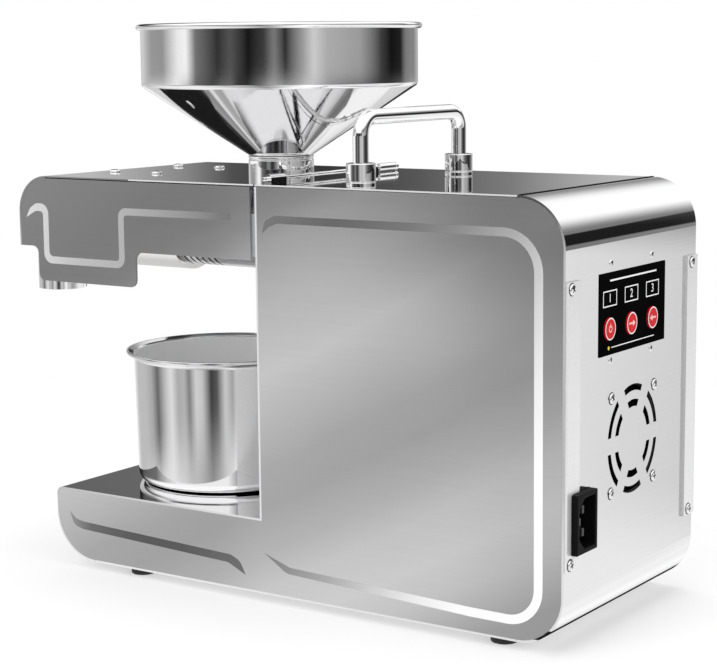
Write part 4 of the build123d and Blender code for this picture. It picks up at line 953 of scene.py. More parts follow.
@dataclass
class CrossScrew:
    """Pan-head screw with a cross recess, drawn with its seat at Z = 0 and its head above.

    The dome's radius, its fall to the head's edge and the rim's rings (radius and height) are shares
    of the head's radius and height. Inset is how far the screw's middle stands in from its node's
    box, where that isn't the head's radius.
    """

    head: float = 3.4
    height: float = 1.8
    slot_width: float = 0.42
    slot_reach: float = 2.0
    slot_depth: float = 0.9
    collar: float = 0.0
    collar_height: float = 0.5
    inset: float = 0.0
    dome: float = 0.72
    fall: float = 0.35
    rim: tuple[tuple[float, float], ...] = ((0.93, 0.66), (1.0, 0.34), (1.0, 0.0))

    def form(self) -> Form:
        """Makes the screw's head.

        Returns:
            The head as a form.
        """
        form = Form()
        mesh = form.mesh
        bmesh.ops.create_grid(mesh, x_segments=5, y_segments=5, size=1.0)
        # The grid's lines, at 0.2, 0.6 and 1 from its middle, move to the cross and to the dome's edge
        lines = {1.0: self.head * self.dome, 0.6: self.slot_reach, 0.2: self.slot_width}
        for vert in mesh.verts:
            outermost = max(abs(vert.co.x), abs(vert.co.y)) > 0.9
            for axis in (0, 1):
                line = min(lines, key=lambda value: abs(value - abs(vert.co[axis])))
                vert.co[axis] = math.copysign(lines[line], vert.co[axis])
            if outermost:
                vert.co = vert.co.normalized() * self.head * self.dome
            vert.co.z = self.height * (1 - self.fall * (vert.co.xy.length / self.head) ** 2)
        cross = [face for face in mesh.faces if self._in_cross(face.calc_center_median())]
        form.thicken(cross, (0, 0, -self.slot_depth))
        bmesh.ops.delete(mesh, geom=[f for f in cross if f.is_valid], context="FACES_ONLY")
        edge = [item for item in mesh.edges if item.is_boundary]
        for radius, level in self.rim:
            verts, edge = form.lengthen(edge)
            for vert in verts:
                flat = vert.co.xy.normalized() * self.head * radius
                vert.co = (flat.x, flat.y, self.height * level)
        bmesh.ops.contextual_create(mesh, geom=edge)
        form.sound()
        # Faces deep in the cross recess take the second finish, black painted shade
        for face in mesh.faces:
            place = face.calc_center_median()
            in_recess = 0.1 < place.z < self.height - self.slot_depth * 0.4
            if in_recess and self._in_cross(place):
                face.material_index = 1
        if self.collar:
            ring = washer(self.head * 0.6, self.collar, self.collar_height)
            form.with_copies(ring.moved(Matrix.Translation((0, 0, -0.02))))
        return form

    def _in_cross(self, point: Vector) -> bool:
        """Whether a face's middle lies in the cross."""
        across, along = sorted((abs(point.x), abs(point.y)))
        return across < self.slot_width and along < self.slot_reach


def washer(inner: float, outer: float, height: float) -> Form:
    """Makes a flat washer with softened edges.

    Args:
        inner: its hole's radius.
        outer: its radius.
        height: its thickness.

    Returns:
        The washer.
    """
    edge = height * 0.3
    points = [(inner, 0.0), (outer, 0.0, edge), (outer, height, edge), (inner, height)]
    return Form().lathe(points, closed=True, steps=40)


@dataclass(frozen=True)
class Groove:
    """A groove turned into a lathe profile, with its corners rounded outside and inside."""

    foot: float
    head: float
    depth: float
    slope: float
    outside: float = 0.0
    inside: float = 0.0

    def points(self, radius: float, base: float = 0.0) -> list[Point]:
        """Gives the groove's four points.

        Args:
            radius: the radius that it is cut into.
            base: the height from which foot and head count.

        Returns:
            The points, from the foot up.
        """
        foot, head, root = base + self.foot, base + self.head, radius - self.depth
        return [
            (radius, foot, self.outside), (root, foot + self.slope, self.inside),
            (root, head - self.slope, self.inside), (radius, head, self.outside),
        ]


@dataclass
class PlatePair:
    """The four satin side plates, and the frosted bands on them."""

    edge: float = 0.12
    band_height: float = 0.05
    body_corner: float = 25.0
    base_toe: float = 27.0
    base_edge: float = 3.0
    nose_corner: float = 20.0
    arm_gap: float = 4.5
    cover_lap: float = 1.2
    skirt_corner: float = 4.5
    skirt_drop: float = 20.1
    skirt_setback: float = 13.1
    skirt_length: float = 75.0
    body_band: list[Point] = field(default_factory=lambda: [
        (21.6, 205.8), (23.4, 212.6, 4.0), (30.0, 215.7, 4.0), (193.5, 215.8, 22.5),
        (194.2, 13.4, 20.0), (151.7, 13.7, 60.0), (34.6, 18.8, 8.0), (19.6, 28.4),
        (25.6, 26.2, 6.0), (37.0, 22.4, 8.0), (151.8, 18.7, 60.0), (189.2, 18.3, 15.0),
        (188.5, 211.2, 17.5), (31.6, 211.5, 4.0), (26.0, 209.4, 4.0),
    ])
    base_band: list[Point] = field(default_factory=lambda: [
        (-124.8, 33.4), (-121.6, 25.2, 6.0), (-114.6, 23.6, 8.0), (-6.0, 19.4, 8.0),
        (6.3, 13.8), (2.2, 21.4, 6.0), (-4.0, 24.1, 8.0), (-114.0, 28.2, 8.0), (-120.0, 29.2, 6.0),
    ])
    arm_band: list[Point] = field(default_factory=lambda: [
        (-151.9, 207.4), (-149.0, 212.9, 5.0), (-144.0, 215.9, 4.0), (-134.4, 215.9, 6.0),
        (-134.4, 185.2, 3.0), (-80.6, 185.2, 2.0), (-80.6, 215.6, 5.5), (0.0, 215.9),
        (0.0, 212.0), (-76.4, 211.5, 2.0), (-76.4, 181.0, 6.0), (-138.6, 181.0, 6.0),
        (-138.6, 211.5, 2.5), (-144.6, 211.3, 3.0),
    ])

    def build(self) -> None:
        """Makes the plates and their bands on both sides."""
        bands = (
            ("body", self.body_band, BODY_FROST), ("base", self.base_band, BASE_FROST),
            ("arm", self.arm_band, ARM_FROST),
        )
        for side, hand in ((-1, "left"), (1, "right")):
            self._plate(f"{hand}_side_plate", self._body_outline())
            self._plate(f"arm_{hand}_plate", self._arm_outline())
            outer = limits(f"{hand}_side_plate")[0 if side < 0 else 1].y
            for name, points, finish in bands:
                form, title = Form(), f"{name}_frosted_band_{hand}"
                form.slab(points, outer, outer + side * self.band_height)
                form.piece(title, HOUSING, finish, "brushed_plate", sharp=FLAT_WORK)

    def _plate(self, node: str, points: list[Point]) -> None:
        """Makes one plate where its CAD node is.

        Args:
            node: the CAD node.
            points: the plate's outline.
        """
        low, high = limits(node)
        form = Form().slab(points, low.y, high.y, self.edge)
        form.piece(node + "_sheet", HOUSING, SATIN, "brushed_plate", [node])

    def _body_outline(self) -> list[Point]:
        """Draws the outline of body and base, from the CAD plate's box.

        Returns:
            The outline's points.
        """
        low, high = limits("left_side_plate")
        wall = limits("arm_left_plate")[1].x + self.arm_gap
        step = limits("platform_cover")[1].z - self.cover_lap
        return [
            (high.x, low.z, self.body_corner), (high.x, high.z, self.body_corner), (wall, high.z),
            (wall, step), (low.x, step, self.base_edge), (low.x, low.z, self.base_toe),
        ]

    def _arm_outline(self) -> list[Point]:
        """Draws the outline of the arm with its skirt, from the CAD plate's box.

        Returns:
            The outline's points.
        """
        low, high = limits("arm_left_plate")
        shelf, corner = low.z + self.skirt_drop, self.skirt_corner
        front = low.x + self.skirt_setback
        rear = front + self.skirt_length
        return [
            (low.x, high.z, self.nose_corner), (high.x, high.z), (high.x, shelf),
            (rear, shelf, corner), (rear, low.z, corner), (front, low.z, corner),
            (front, shelf, corner), (low.x, shelf),
        ]


@dataclass
class Hopper:
    """The spun hopper with its rolled rim, and the collar that it stands on."""

    sheet: float = 1.0
    bead: float = 1.7
    band: float = 35.2
    band_corner: float = 3.0
    neck: float = 15.9
    collar: float = 19.0
    collar_height: float = 11.0
    insert: float = 9.0
    clearance: float = 0.3
    groove: Groove = Groove(8.6, 9.8, 0.5, 0.3, 0.3, 0.2)

    def build(self) -> None:
        """Makes the hopper, its rim and its collar."""
        low, high = limits("hopper")
        centre = middle("hopper")
        centre.z = 0.0
        radius = (high.x - low.x) / 2 - 1.5 * self.bead
        seat = low.z + self.insert + self.collar_height
        top, shoulder = high.z - self.bead, high.z - self.band
        wall = self.sheet
        shell = Form().lathe(
            [
                (self.neck - wall, low.z), (self.neck, low.z), (self.neck, seat - 0.4, 1.0),
                (self.collar - 0.6, seat + 0.2, 1.2), (radius, shoulder, self.band_corner),
                (radius, top), (radius - wall, top), (radius - wall, shoulder + 0.6, self.band_corner),
                (self.neck - wall, seat + 1.6, 2.0),
            ],
            closed=True, steps=192,
        )
        shell.moved(Matrix.Translation(centre))
        shell.piece("hopper_shell", HOPPER_BODY, SPUN, "polished_sheet", ["hopper"])
        rim = Form()
        bmesh.ops.create_circle(rim.mesh, cap_ends=False, radius=self.bead, segments=16)
        turn = Matrix.Rotation(math.pi / 2, 4, "X")
        rim.moved(Matrix.Translation((radius + self.bead / 2, 0, top)) @ turn)
        rim.full_turn(192).moved(Matrix.Translation(centre))
        rim.piece("hopper_rolled_rim", HOPPER_BODY, SPUN, "polished_sheet")
        base = limits("hopper_collar")[0].z
        bore, crest = self.neck + self.clearance, base + self.collar_height
        ring = Form().lathe(
            [
                (bore, base), (self.collar, base), *self.groove.points(self.collar, base),
                (self.collar, crest, 0.5), (bore, crest),
            ],
            closed=True, steps=128,
        )
        ring.moved(Matrix.Translation(centre))
        ring.piece("hopper_collar_ring", HOUSING, CHROME, "chrome", ["hopper_collar"])


@dataclass
class CarryHandle:
    """The D handle with its two collars."""

    rod: float = 4.25
    bend: float = 10.0
    collar: float = 8.0
    collar_corner: float = 0.6
    clearance: float = 0.1
    groove: Groove = Groove(1.1, 1.9, 0.3, 0.2, 0.2, 0.2)

    def build(self) -> None:
        """Makes the rod and the collars."""
        low, high = limits("carry_handle")
        x = middle("carry_handle").x
        reach = high.y - self.rod
        rise = high.z - self.rod - low.z - self.bend
        rod = Form().pipe(
            self.rod, (x, -reach, low.z), Axis.Z,
            [Run(rise), Bend(self.bend, (0, 1, 0)), Run(2 * (reach - self.bend)),
             Bend(self.bend, (0, 0, -1)), Run(rise)],
        )
        rod.piece("carry_handle_rod", HOUSING, CHROME, "chrome", ["carry_handle"])
        foot, head = limits("handle_collars")
        height, bore = head.z - foot.z, self.rod + self.clearance
        collar = Form().lathe(
            [
                (bore, 0.0), (self.collar, 0.0), *self.groove.points(self.collar),
                (self.collar, height, self.collar_corner), (bore, height, 0.3),
            ],
            closed=True, steps=64,
        )
        places = [Matrix.Translation((x, side * reach, foot.z)) for side in (-1, 1)]
        pair = Form().with_copies(collar, places)
        pair.piece("handle_collar_pair", HOUSING, CHROME, "chrome", ["handle_collars"])
        dress(GALVANISED, "handle_nuts")


@dataclass
class OilCup:
    """The oil cup with its flared rim and rounded foot."""

    sheet: float = 0.8
    wall_top: float = 55.0
    wall_foot: float = 53.5
    foot_corner: float = 6.0
    flat_margin: float = 8.0
    rim_height: float = 1.6
    rim_width: float = 1.4
    flare: float = 1.6
    flare_inside: float = 1.8
    flare_corner: float = 2.4
    steel_rim: float = 2.0

    def build(self) -> None:
        """Makes the cup, whose inside takes a paler, nearly matt copy of the steel, painted light, up to
        the rim band that keeps the spun steel.
        """
        low, high = limits("oil_cup")
        rim = (high.x - low.x) / 2
        height, sheet = high.z - low.z, self.sheet
        under, flat = height - self.rim_height, self.wall_foot - self.flat_margin
        cup = Form().lathe(
            [
                (0.0, 0.0), (flat, 0.0), (self.wall_foot, 0.0, self.foot_corner),
                (self.wall_top, under - self.flare, self.flare_corner), (rim, under, 0.5),
                (rim, height, 0.6), (rim - self.rim_width, height, 0.4),
                (self.wall_top - sheet, height - self.flare_inside, self.flare_corner),
                (self.wall_foot - sheet, sheet, self.foot_corner - sheet), (flat, sheet), (0.0, sheet),
            ],
            steps=192,
        )
        for face in cup.mesh.faces:
            place, normal = face.calc_center_median(), face.normal
            inside = place.xy.length < flat or place.xy.dot(normal.xy) < 0
            if inside and place.z < height - self.steel_rim and normal.z > -0.5:
                face.material_index = 1
        centre = middle("oil_cup")
        cup.moved(Matrix.Translation((centre.x, centre.y, low.z)))
        cup.piece("oil_cup_shell", CUP_BODY, SPUN, "polished_sheet", ["oil_cup"], second_finish=CUP_INSIDE_PAINTED_LIGHT)


@dataclass
class NoseOutlet:
    """The ring nut on the nose and the elbow in front of it."""

    tube: float = 15.1
    wall: float = 1.6
    bend: float = 16.0
    nut_bore: float = 17.8
    nut_radius: float = 26.0
    grips: int = 12
    grip_depth: float = 1.5
    grip_start: float = 0.55

    def build(self) -> None:
        """Makes the elbow and the nut."""
        low, high = limits("residue_elbow")
        axis_z = high.z - self.tube
        spout_x = low.x + self.tube
        elbow = Form().pipe(
            self.tube, (high.x, 0.0, axis_z), Axis.X,
            [Run(spout_x + self.bend - high.x), Bend(-self.bend, (0, 0, 1)),
             Run(-(axis_z - self.bend - low.z))],
            wall=self.wall, sides=64,
        )
        elbow.soften(0.3, 60.0)
        elbow.piece("residue_elbow_tube", HOUSING, CHROME, "chrome", ["residue_elbow"])
        self._nut()

    def _nut(self) -> None:
        """Makes the ring nut with its finger grips."""
        low, high = limits("nose_nut")
        nut = Form()
        sides = self.grips * 16
        bmesh.ops.create_circle(nut.mesh, cap_ends=False, radius=self.nut_radius, segments=sides)
        for vert in nut.mesh.verts:
            angle = math.atan2(vert.co.y, vert.co.x) * self.grips
            dip = max(0.0, math.cos(angle) - self.grip_start) / (1 - self.grip_start)
            vert.co *= 1 - self.grip_depth / self.nut_radius * dip ** 0.5
        bmesh.ops.create_circle(nut.mesh, cap_ends=False, radius=self.nut_bore, segments=sides)
        faces = bmesh.ops.bridge_loops(nut.mesh, edges=nut.mesh.edges[:])["faces"]
        nut.thicken(faces, (0, 0, high.x - low.x))
        nut.sound().soften(0.6, 60.0)
        nut.moved(Axis.X.frame((low.x, 0.0, middle("nose_nut").z)))
        nut.piece("nose_nut_ring", NUT_BODY, CHROME, "chrome", ["nose_nut"], sharp=35.0)


@dataclass
class LockRod:
    """The thin rod across the seam, with its grip and its guides."""

    rod: float = 1.1
    grip: float = 2.35
    grip_length: float = 20.0
    groove: Groove = Groove(-4.0, -2.6, 0.4, 0.4)

    def build(self) -> None:
        """Makes the rod and dresses its guides."""
        low, high = limits("lock_rod")
        length = high.y - low.y
        start = length - self.grip_length
        rod = Form().lathe(
            [
                (0.0, 0.0), (self.rod, 0.0, 0.4), (self.rod, start), (self.grip, start, 0.4),
                *self.groove.points(self.grip, length), (self.grip, length, 1.2), (0.0, length),
            ],
            steps=32,
        )
        centre = middle("lock_rod")
        rod.moved(Axis.Y.frame((centre.x, low.y, centre.z)))
        rod.piece("lock_rod_turned", LOCK_BODY, CHROME, "chrome", ["lock_rod"])
        dress(CHROME, "lock_rod_guides")


@dataclass
class Fasteners:
    """Every screw head that shows on the press."""

    rear: CrossScrew = field(default_factory=lambda: CrossScrew(2.9, 1.3, 0.4, 1.7, 0.7))
    arm: CrossScrew = field(default_factory=lambda: CrossScrew(3.4, 1.8, collar=3.4))
    stud: CrossScrew = field(default_factory=lambda: CrossScrew(1.9, 0.7, 0.28, 1.1, 0.4, inset=2.6))
    shank: float = 1.5
    fan_shank: float = 1.9
    shank_lap: float = 0.1
    shadow_ring: float = 0.4
    shadow_ring_height: float = 0.12
    first_turn: float = 20.0
    turn_step: float = 37.0

    def build(self) -> None:
        """Makes the heads, and a rod for what of each screw is inside."""
        self._set("corner_screws", self.rear, Axis.X, self.shank)
        self._set("fan_screws", self.rear, Axis.X, self.fan_shank)
        self._set("arm_screws", self.arm, Axis.Z, self.shank)
        self._set("panel_studs", self.stud, Axis.X, self.shank)

    def _set(self, node: str, screw: CrossScrew, axis: Axis, shank: float) -> None:
        """Makes the four screws of one CAD node, at the corners of its box.

        Args:
            node: the CAD node.
            screw: what its heads are like.
            axis: the way that the heads face.
            shank: the shank's radius.
        """
        low, high = limits(node)
        inset = screw.inset or screw.head
        if axis is Axis.X:
            seat, length = high.x - screw.height, high.x - screw.height - low.x
            spots = [(seat, y, z) for y, z in corner_spots(low.yz, high.yz, inset)]
        else:
            seat, length = high.z - screw.height, high.z - screw.height - low.z
            spots = [(x, y, seat) for x, y in corner_spots(low.xy, high.xy, inset)]
        top = self.shank_lap
        rod = Form().lathe([(0.0, -length), (shank, -length, 0.3), (shank, top), (0.0, top)], steps=20)
        places = [
            axis.frame(spot)
            @ Matrix.Rotation(math.radians(self.first_turn + self.turn_step * index), 4, "Z")
            for index, spot in enumerate(spots)
        ]
        whole = Form().with_copies(screw.form().with_copies(rod), places)
        # The cross recesses take black painted shade
        whole.piece(
            node + "_turned", HOUSING, SCREW_CHROME, "chrome_fasteners", [node], sharp=50.0,
            second_finish=SHADE_BLACK,
        )
        # The rear screws get a thin black ring round each head, painted shade that outlines them
        if screw is self.rear:
            shadow_ring = washer(screw.head * 0.5, screw.head + self.shadow_ring, self.shadow_ring_height)
            rings = Form().with_copies(shadow_ring, places)
            rings.piece(node + "_gaskets", HOUSING, SHADE_BLACK, "black_plastic", sharp=50.0)


@dataclass
class ControlPanel:
    """The print on the glossy panel and its three keys.

    A rule is its half length, its distance from the panel's edge and its thickness; the dot's place
    counts from the panel's middle and its lower edge.
    """

    frame_width: float = 15.4
    frame_height: float = 8.3
    line: float = 0.6
    frame_level: float = 177.3
    frame_places: tuple[float, ...] = (-28.9, -4.4, 20.5)
    key_radius: float = 5.9
    ring: float = 0.6
    flange: float = 7.2
    flange_top: float = 1.7
    flange_foot: float = 4.0
    stem: float = 1.8
    ring_gap: float = 0.15
    number: float = 4.6
    upper_rule: Point = (27.0, 4.6, 0.9)
    lower_rule: Point = (25.0, 3.4, 0.5)
    dot: float = 1.0
    dot_place: Point = (-28.0, 3.6)
    keys: tuple[tuple[str, str], ...] = (
        ("heat_button", "heat_key"), ("press_button", "press_key"), ("clear_button", "clear_key"),
    )

    def build(self) -> None:
        """Makes the keys, the numbered frames and the panel's rules and yellow dot."""
        dress(PANEL_BLACK, "control_panel")
        low, high = limits("control_panel")
        for index, (node, body) in enumerate(self.keys):
            self._key(node, body, index)
            y = self.frame_places[index]
            self._frame(f"{node}_number_frame", high.x, y)
            place = (high.x + INK, y, self.frame_level)
            lettering(f"{node}_number", str(index + 1), self.number, place, WHITE_INK)
        centre = (low.y + high.y) / 2
        rules = Form()
        for edge, side, (half, gap, thick) in (
            (high.z, -1, self.upper_rule), (low.z, 1, self.lower_rule)
        ):
            level = edge + side * gap
            rules.box((high.x, centre - half, level), (high.x + INK, centre + half, level + thick))
        rules.piece("panel_rules", HOUSING, WHITE_INK, "gloss_black", sharp=FLAT_WORK)
        dot = Form().lathe([(0.0, 0.0), (self.dot, 0.0), (self.dot, INK), (0.0, INK)], steps=32)
        across, up = self.dot_place
        dot.moved(Axis.X.frame((high.x, centre + across, low.z + up)))
        dot.piece("panel_yellow_dot", HOUSING, YELLOW_INK, "gloss_black", sharp=FLAT_WORK)

    def _key(self, node: str, body: str, index: int) -> None:
        """Makes one red key with a white ring and a plain sign.

        Args:
            node: the key's CAD node.
            body: the body that it rides on.
            index: which key it is, from 0.
        """
        low, high = limits(node)
        radius, depth = self.key_radius, high.x - low.x
        neck, top = depth - self.flange_foot, depth - self.flange_top
        cap = Form().lathe(
            [
                (0.0, 0.0), (self.stem, 0.0), (self.stem, neck), (self.flange, neck),
                (self.flange, top), (radius, top), (radius, depth, 0.3), (0.0, depth),
            ],
            steps=56,
        )
        centre = middle(node)
        cap.moved(Axis.X.frame((low.x, centre.y, centre.z)))
        cap.piece(f"{node}_cap", body, RED, "red_plastic", [node])
        outer = radius - self.ring_gap
        ring = washer(outer - self.ring, outer, INK)
        ring.moved(Axis.X.frame((high.x, centre.y, centre.z)))
        ring.piece(f"{node}_ring", body, WHITE_INK, "red_plastic")
        sign = self._sign(index)
        sign.moved(Matrix.Translation((high.x, centre.y, centre.z)))
        sign.piece(f"{node}_sign", body, PALE_INK, "red_plastic", sharp=FLAT_WORK)

    @staticmethod
    def _sign(index: int) -> Form:
        """Draws a key's plain sign: a ring with a bar, or a bar with a point to either side.

        Args:
            index: which key it is, from 0.

        Returns:
            The sign, standing on the YZ plane.
        """
        if index == 0:
            ring = washer(1.2, 1.9, INK).moved(Axis.X.frame((0.0, 0.0, 0.0)))
            return ring.with_copies(Form().box((0.0, -0.3, 0.6), (INK * 1.2, 0.3, 2.8)))
        way = 1 if index == 1 else -1
        turn = Matrix(((0, 1, 0), (way, 0, 0), (0, 0, 1))).to_4x4()
        point = Form().slab([(0.8, -1.7), (3.8, 0.0), (0.8, 1.7)], 0.0, INK).moved(turn).sound()
        left, right = sorted((-3.6 * way, 0.8 * way))
        return Form().box((0.0, left, -0.5), (INK, right, 0.5)).with_copies(point)

    def _frame(self, name: str, face: float, y: float) -> None:
        """Prints one outlined box from four bars.

        Args:
            name: the piece's name.
            face: the panel's face.
            y: the box's middle.
        """
        half, line = self.line / 2, self.line
        reach, rise = self.frame_width / 2, self.frame_height / 2
        foot, head = self.frame_level - rise + line, self.frame_level + rise - line
        form = Form()
        for side in (-1, 1):
            level = self.frame_level + side * (rise - half)
            form.box((face, y - reach, level - half), (face + INK, y + reach, level + half))
            edge = y + side * (reach - half)
            form.box((face, edge - half, foot), (face + INK, edge + half, head))
        form.piece(name, HOUSING, WHITE_INK, "gloss_black", sharp=FLAT_WORK)


@dataclass
class PowerInlet:
    """The mains inlet, with a cavity clipped at two corners and three pins."""

    wall: float = 2.6
    cavity: float = 15.0
    clip: float = 5.5
    edge: float = 0.6

    def build(self) -> None:
        """Makes the moulded body and dresses its pins."""
        low, high = limits("power_inlet")
        left, right = low.y + self.wall, high.y - self.wall
        foot, head = low.z + self.wall, high.z - self.wall
        form = Form()
        mesh = form.mesh
        outer = self._loop(mesh, high.x, [
            (low.y, low.z), (high.y, low.z), (high.y, high.z), (low.y, high.z),
        ])
        inner = self._loop(mesh, high.x, [
            (left + self.clip, foot), (right, foot), (right, head), (left + self.clip, head),
            (left, head - self.clip), (left, foot + self.clip),
        ])
        bmesh.ops.triangle_fill(mesh, edges=outer + inner, use_beauty=True)
        for loop, depth in ((outer, high.x - low.x), (inner, self.cavity)):
            verts, back = form.lengthen(loop)
            bmesh.ops.translate(mesh, vec=(-depth, 0, 0), verts=verts)
            bmesh.ops.contextual_create(mesh, geom=back)
        form.sound().soften(self.edge, 40.0, 3)
        form.piece("power_inlet_moulding", HOUSING, BLACK, "black_plastic", ["power_inlet"])
        dress(INLET_PINS, "inlet_pins")

    @staticmethod
    def _loop(mesh: bmesh.types.BMesh, x: float, corners: list[tuple[float, float]]) -> list[BMEdge]:
        """Draws a closed line of edges at one X."""
        verts = [mesh.verts.new((x, y, z)) for y, z in corners]
        return [mesh.edges.new(pair) for pair in zip(verts, verts[1:] + verts[:1])]


@dataclass
class CoolingFan:
    """The fan's rotor, whose curved blades show through the slots."""

    bore: float = 1.6
    hub: float = 12.5
    tip: float = 27.4
    blades: int = 7
    chord: float = 11.0
    pitch: float = 38.0
    washout: float = 0.5
    curl: float = 1.6
    thickness: float = 0.9
    root_lap: float = 0.6

    def build(self) -> None:
        """Makes the rotor and dresses the frame."""
        low, high = limits("fan_rotor")
        depth = high.x - low.x
        rotor = Form().lathe(
            [(self.bore, 0.0), (self.hub, 0.0), (self.hub, depth, 1.2), (0.0, depth)], steps=48
        )
        blade = Form()
        bmesh.ops.create_grid(blade.mesh, x_segments=6, y_segments=6, size=0.5)
        for vert in blade.mesh.verts:
            out, along = vert.co.y + 0.5, vert.co.x
            twist = math.radians(self.pitch * (1 + self.washout * (0.5 - out)))
            curl = self.curl * (1 - 4 * along * along)
            reach = self.hub - self.root_lap + out * (self.tip - self.hub)
            span = self.chord * along
            vert.co = Vector((
                span * math.cos(twist) - curl * math.sin(twist), reach,
                span * math.sin(twist) + curl * math.cos(twist),
            ))
        bmesh.ops.solidify(blade.mesh, geom=blade.mesh.faces[:], thickness=self.thickness)
        blade.sound()
        lift = Matrix.Translation((0, 0, depth / 2))
        angles = (math.tau * index / self.blades for index in range(self.blades))
        rotor.with_copies(blade, [Matrix.Rotation(angle, 4, "Z") @ lift for angle in angles])
        centre = middle("fan_frame")
        rotor.moved(Axis.X.frame((low.x, centre.y, centre.z)))
        rotor.piece("fan_rotor_blades", FAN_BODY, BLACK, "black_plastic", ["fan_rotor"])
        dress(BLACK, "fan_frame")


@dataclass
class Feet:
    """The rubber feet, with a rounded tread and a waist."""

    radius: float = 7.3

    def build(self) -> None:
        """Makes the four feet."""
        low, high = limits("rubber_feet")
        height = high.z - low.z
        foot = Form().lathe(
            [
                (0.0, 0.0), (self.radius - 0.3, 0.0, 0.4), (self.radius, 1.6, 0.6),
                (self.radius - 0.5, height), (2.2, height), (2.2, 1.2), (0.0, 1.2),
            ],
            steps=40,
        )
        spots = corner_spots(low.xy, high.xy, self.radius)
        pads = Form().with_copies(foot, [Matrix.Translation((x, y, low.z)) for x, y in spots])
        pads.piece("rubber_foot_pads", HOUSING, RUBBER, "rubber_feet", ["rubber_feet"])


@dataclass
class Sheets:
    """The bent sheets, which keep their CAD shapes, and the thin lines along their edges: painted
    highlight and painted shade.
    """

    polished: tuple[str, ...] = ("rear_wrap", "floor_pan")
    soft: tuple[str, ...] = ("rear_edge_strips", "front_wall")
    mirror: tuple[str, ...] = ("body_top_plate", "arm_cover", "platform_cover")
    seam: float = 1.6
    seam_rise: float = 0.35
    seam_depth: float = 0.3
    seam_inset: float = 1.2
    line: float = 0.8
    line_rise: float = 0.02
    proud: float = 0.05
    line_end: float = 0.3
    nose: float = 85.0
    shade: float = 0.56
    shade_start: float = 21.0

    def build(self) -> None:
        """Dresses the sheets and draws their edge lines: painted highlight and shade on the covers, and
        a black strip of painted shadow in the top seam.
        """
        dress(POLISHED, *self.polished)
        dress(MIRROR, *self.mirror)
        dress(SOFT_SHEET, *self.soft)
        # Painted highlight along the covers' upper side edges, and painted shade just under the arm
        # cover's
        bright, dark, end = Form(), Form(), self.line_end
        self._edges(bright, "body_top_plate", (end, end), (self.line, self.line_rise))
        self._edges(bright, "arm_cover", (self.nose, end), (self.line, self.line_rise))
        self._edges(dark, "arm_cover", (self.shade_start, 0.0), (self.line + self.shade, -self.line))
        bright.piece("cover_painted_highlight_edges", HOUSING, SOFT_SHEET, "polished_sheet", sharp=FLAT_WORK)
        dark.piece("cover_painted_shade_edges", HOUSING, SHADE_BLACK, "mirror_sheet", sharp=FLAT_WORK)
        # A black strip in the top seam is painted shadow
        low, high = limits("body_top_plate")
        seam = Form().box(
            (high.x - 0.1, low.y + self.seam_inset, high.z - self.seam_depth),
            (high.x + self.seam, high.y - self.seam_inset, high.z + self.seam_rise), 0.02,
        )
        seam.piece("top_seam_painted_shadow", HOUSING, SHADE_BLACK, "mirror_sheet")

    def _edges(
        self, form: Form, node: str, ends: tuple[float, float], levels: tuple[float, float]
    ) -> None:
        """Draws a line along both upper side edges of a sheet.

        Args:
            form: what the lines are added to.
            node: the sheet's CAD node.
            ends: how far the line stops short of the sheet's front and rear.
            levels: how far below the sheet's top it starts, and above it ends.
        """
        low, high = limits(node)
        for side in (low.y, high.y):
            form.box(
                (low.x + ends[0], side - self.proud, high.z - levels[0]),
                (high.x - ends[1], side + self.proud, high.z + levels[1]),
            )


@dataclass
class Works:
    """Everything inside the press, which keeps its CAD shape."""

    finishes: dict[Finish, tuple[str, ...]] = field(default_factory=lambda: {
        GALVANISED: ("arm_brackets", "barrel_hanger", "corner_rails", "motor_end_plates"),
        BARREL_STEEL: ("press_barrel", "press_screw"),
        HEATER_STEEL: ("heater_band",),
        SCREW_CHROME: ("barrel_bolts", "heater_bolt", "foot_screws", "idler_pin"),
        CAST: ("gear_case", "gear_case_lid"),
        GEAR_STEEL: ("output_wheel", "idler_gear", "motor_pinion", "output_shaft", "motor_armature"),
        BRASS: ("output_bearings", "thrust_washer", "board_pillars"),
        MOTOR_PAINT: ("motor_can",),
        MAGNET: ("motor_magnets",),
        BOARD: ("control_board", "power_board"),
    })

    def build(self) -> None:
        """Dresses the works."""
        for finish, nodes in self.finishes.items():
            dress(finish, *nodes)


# Studio


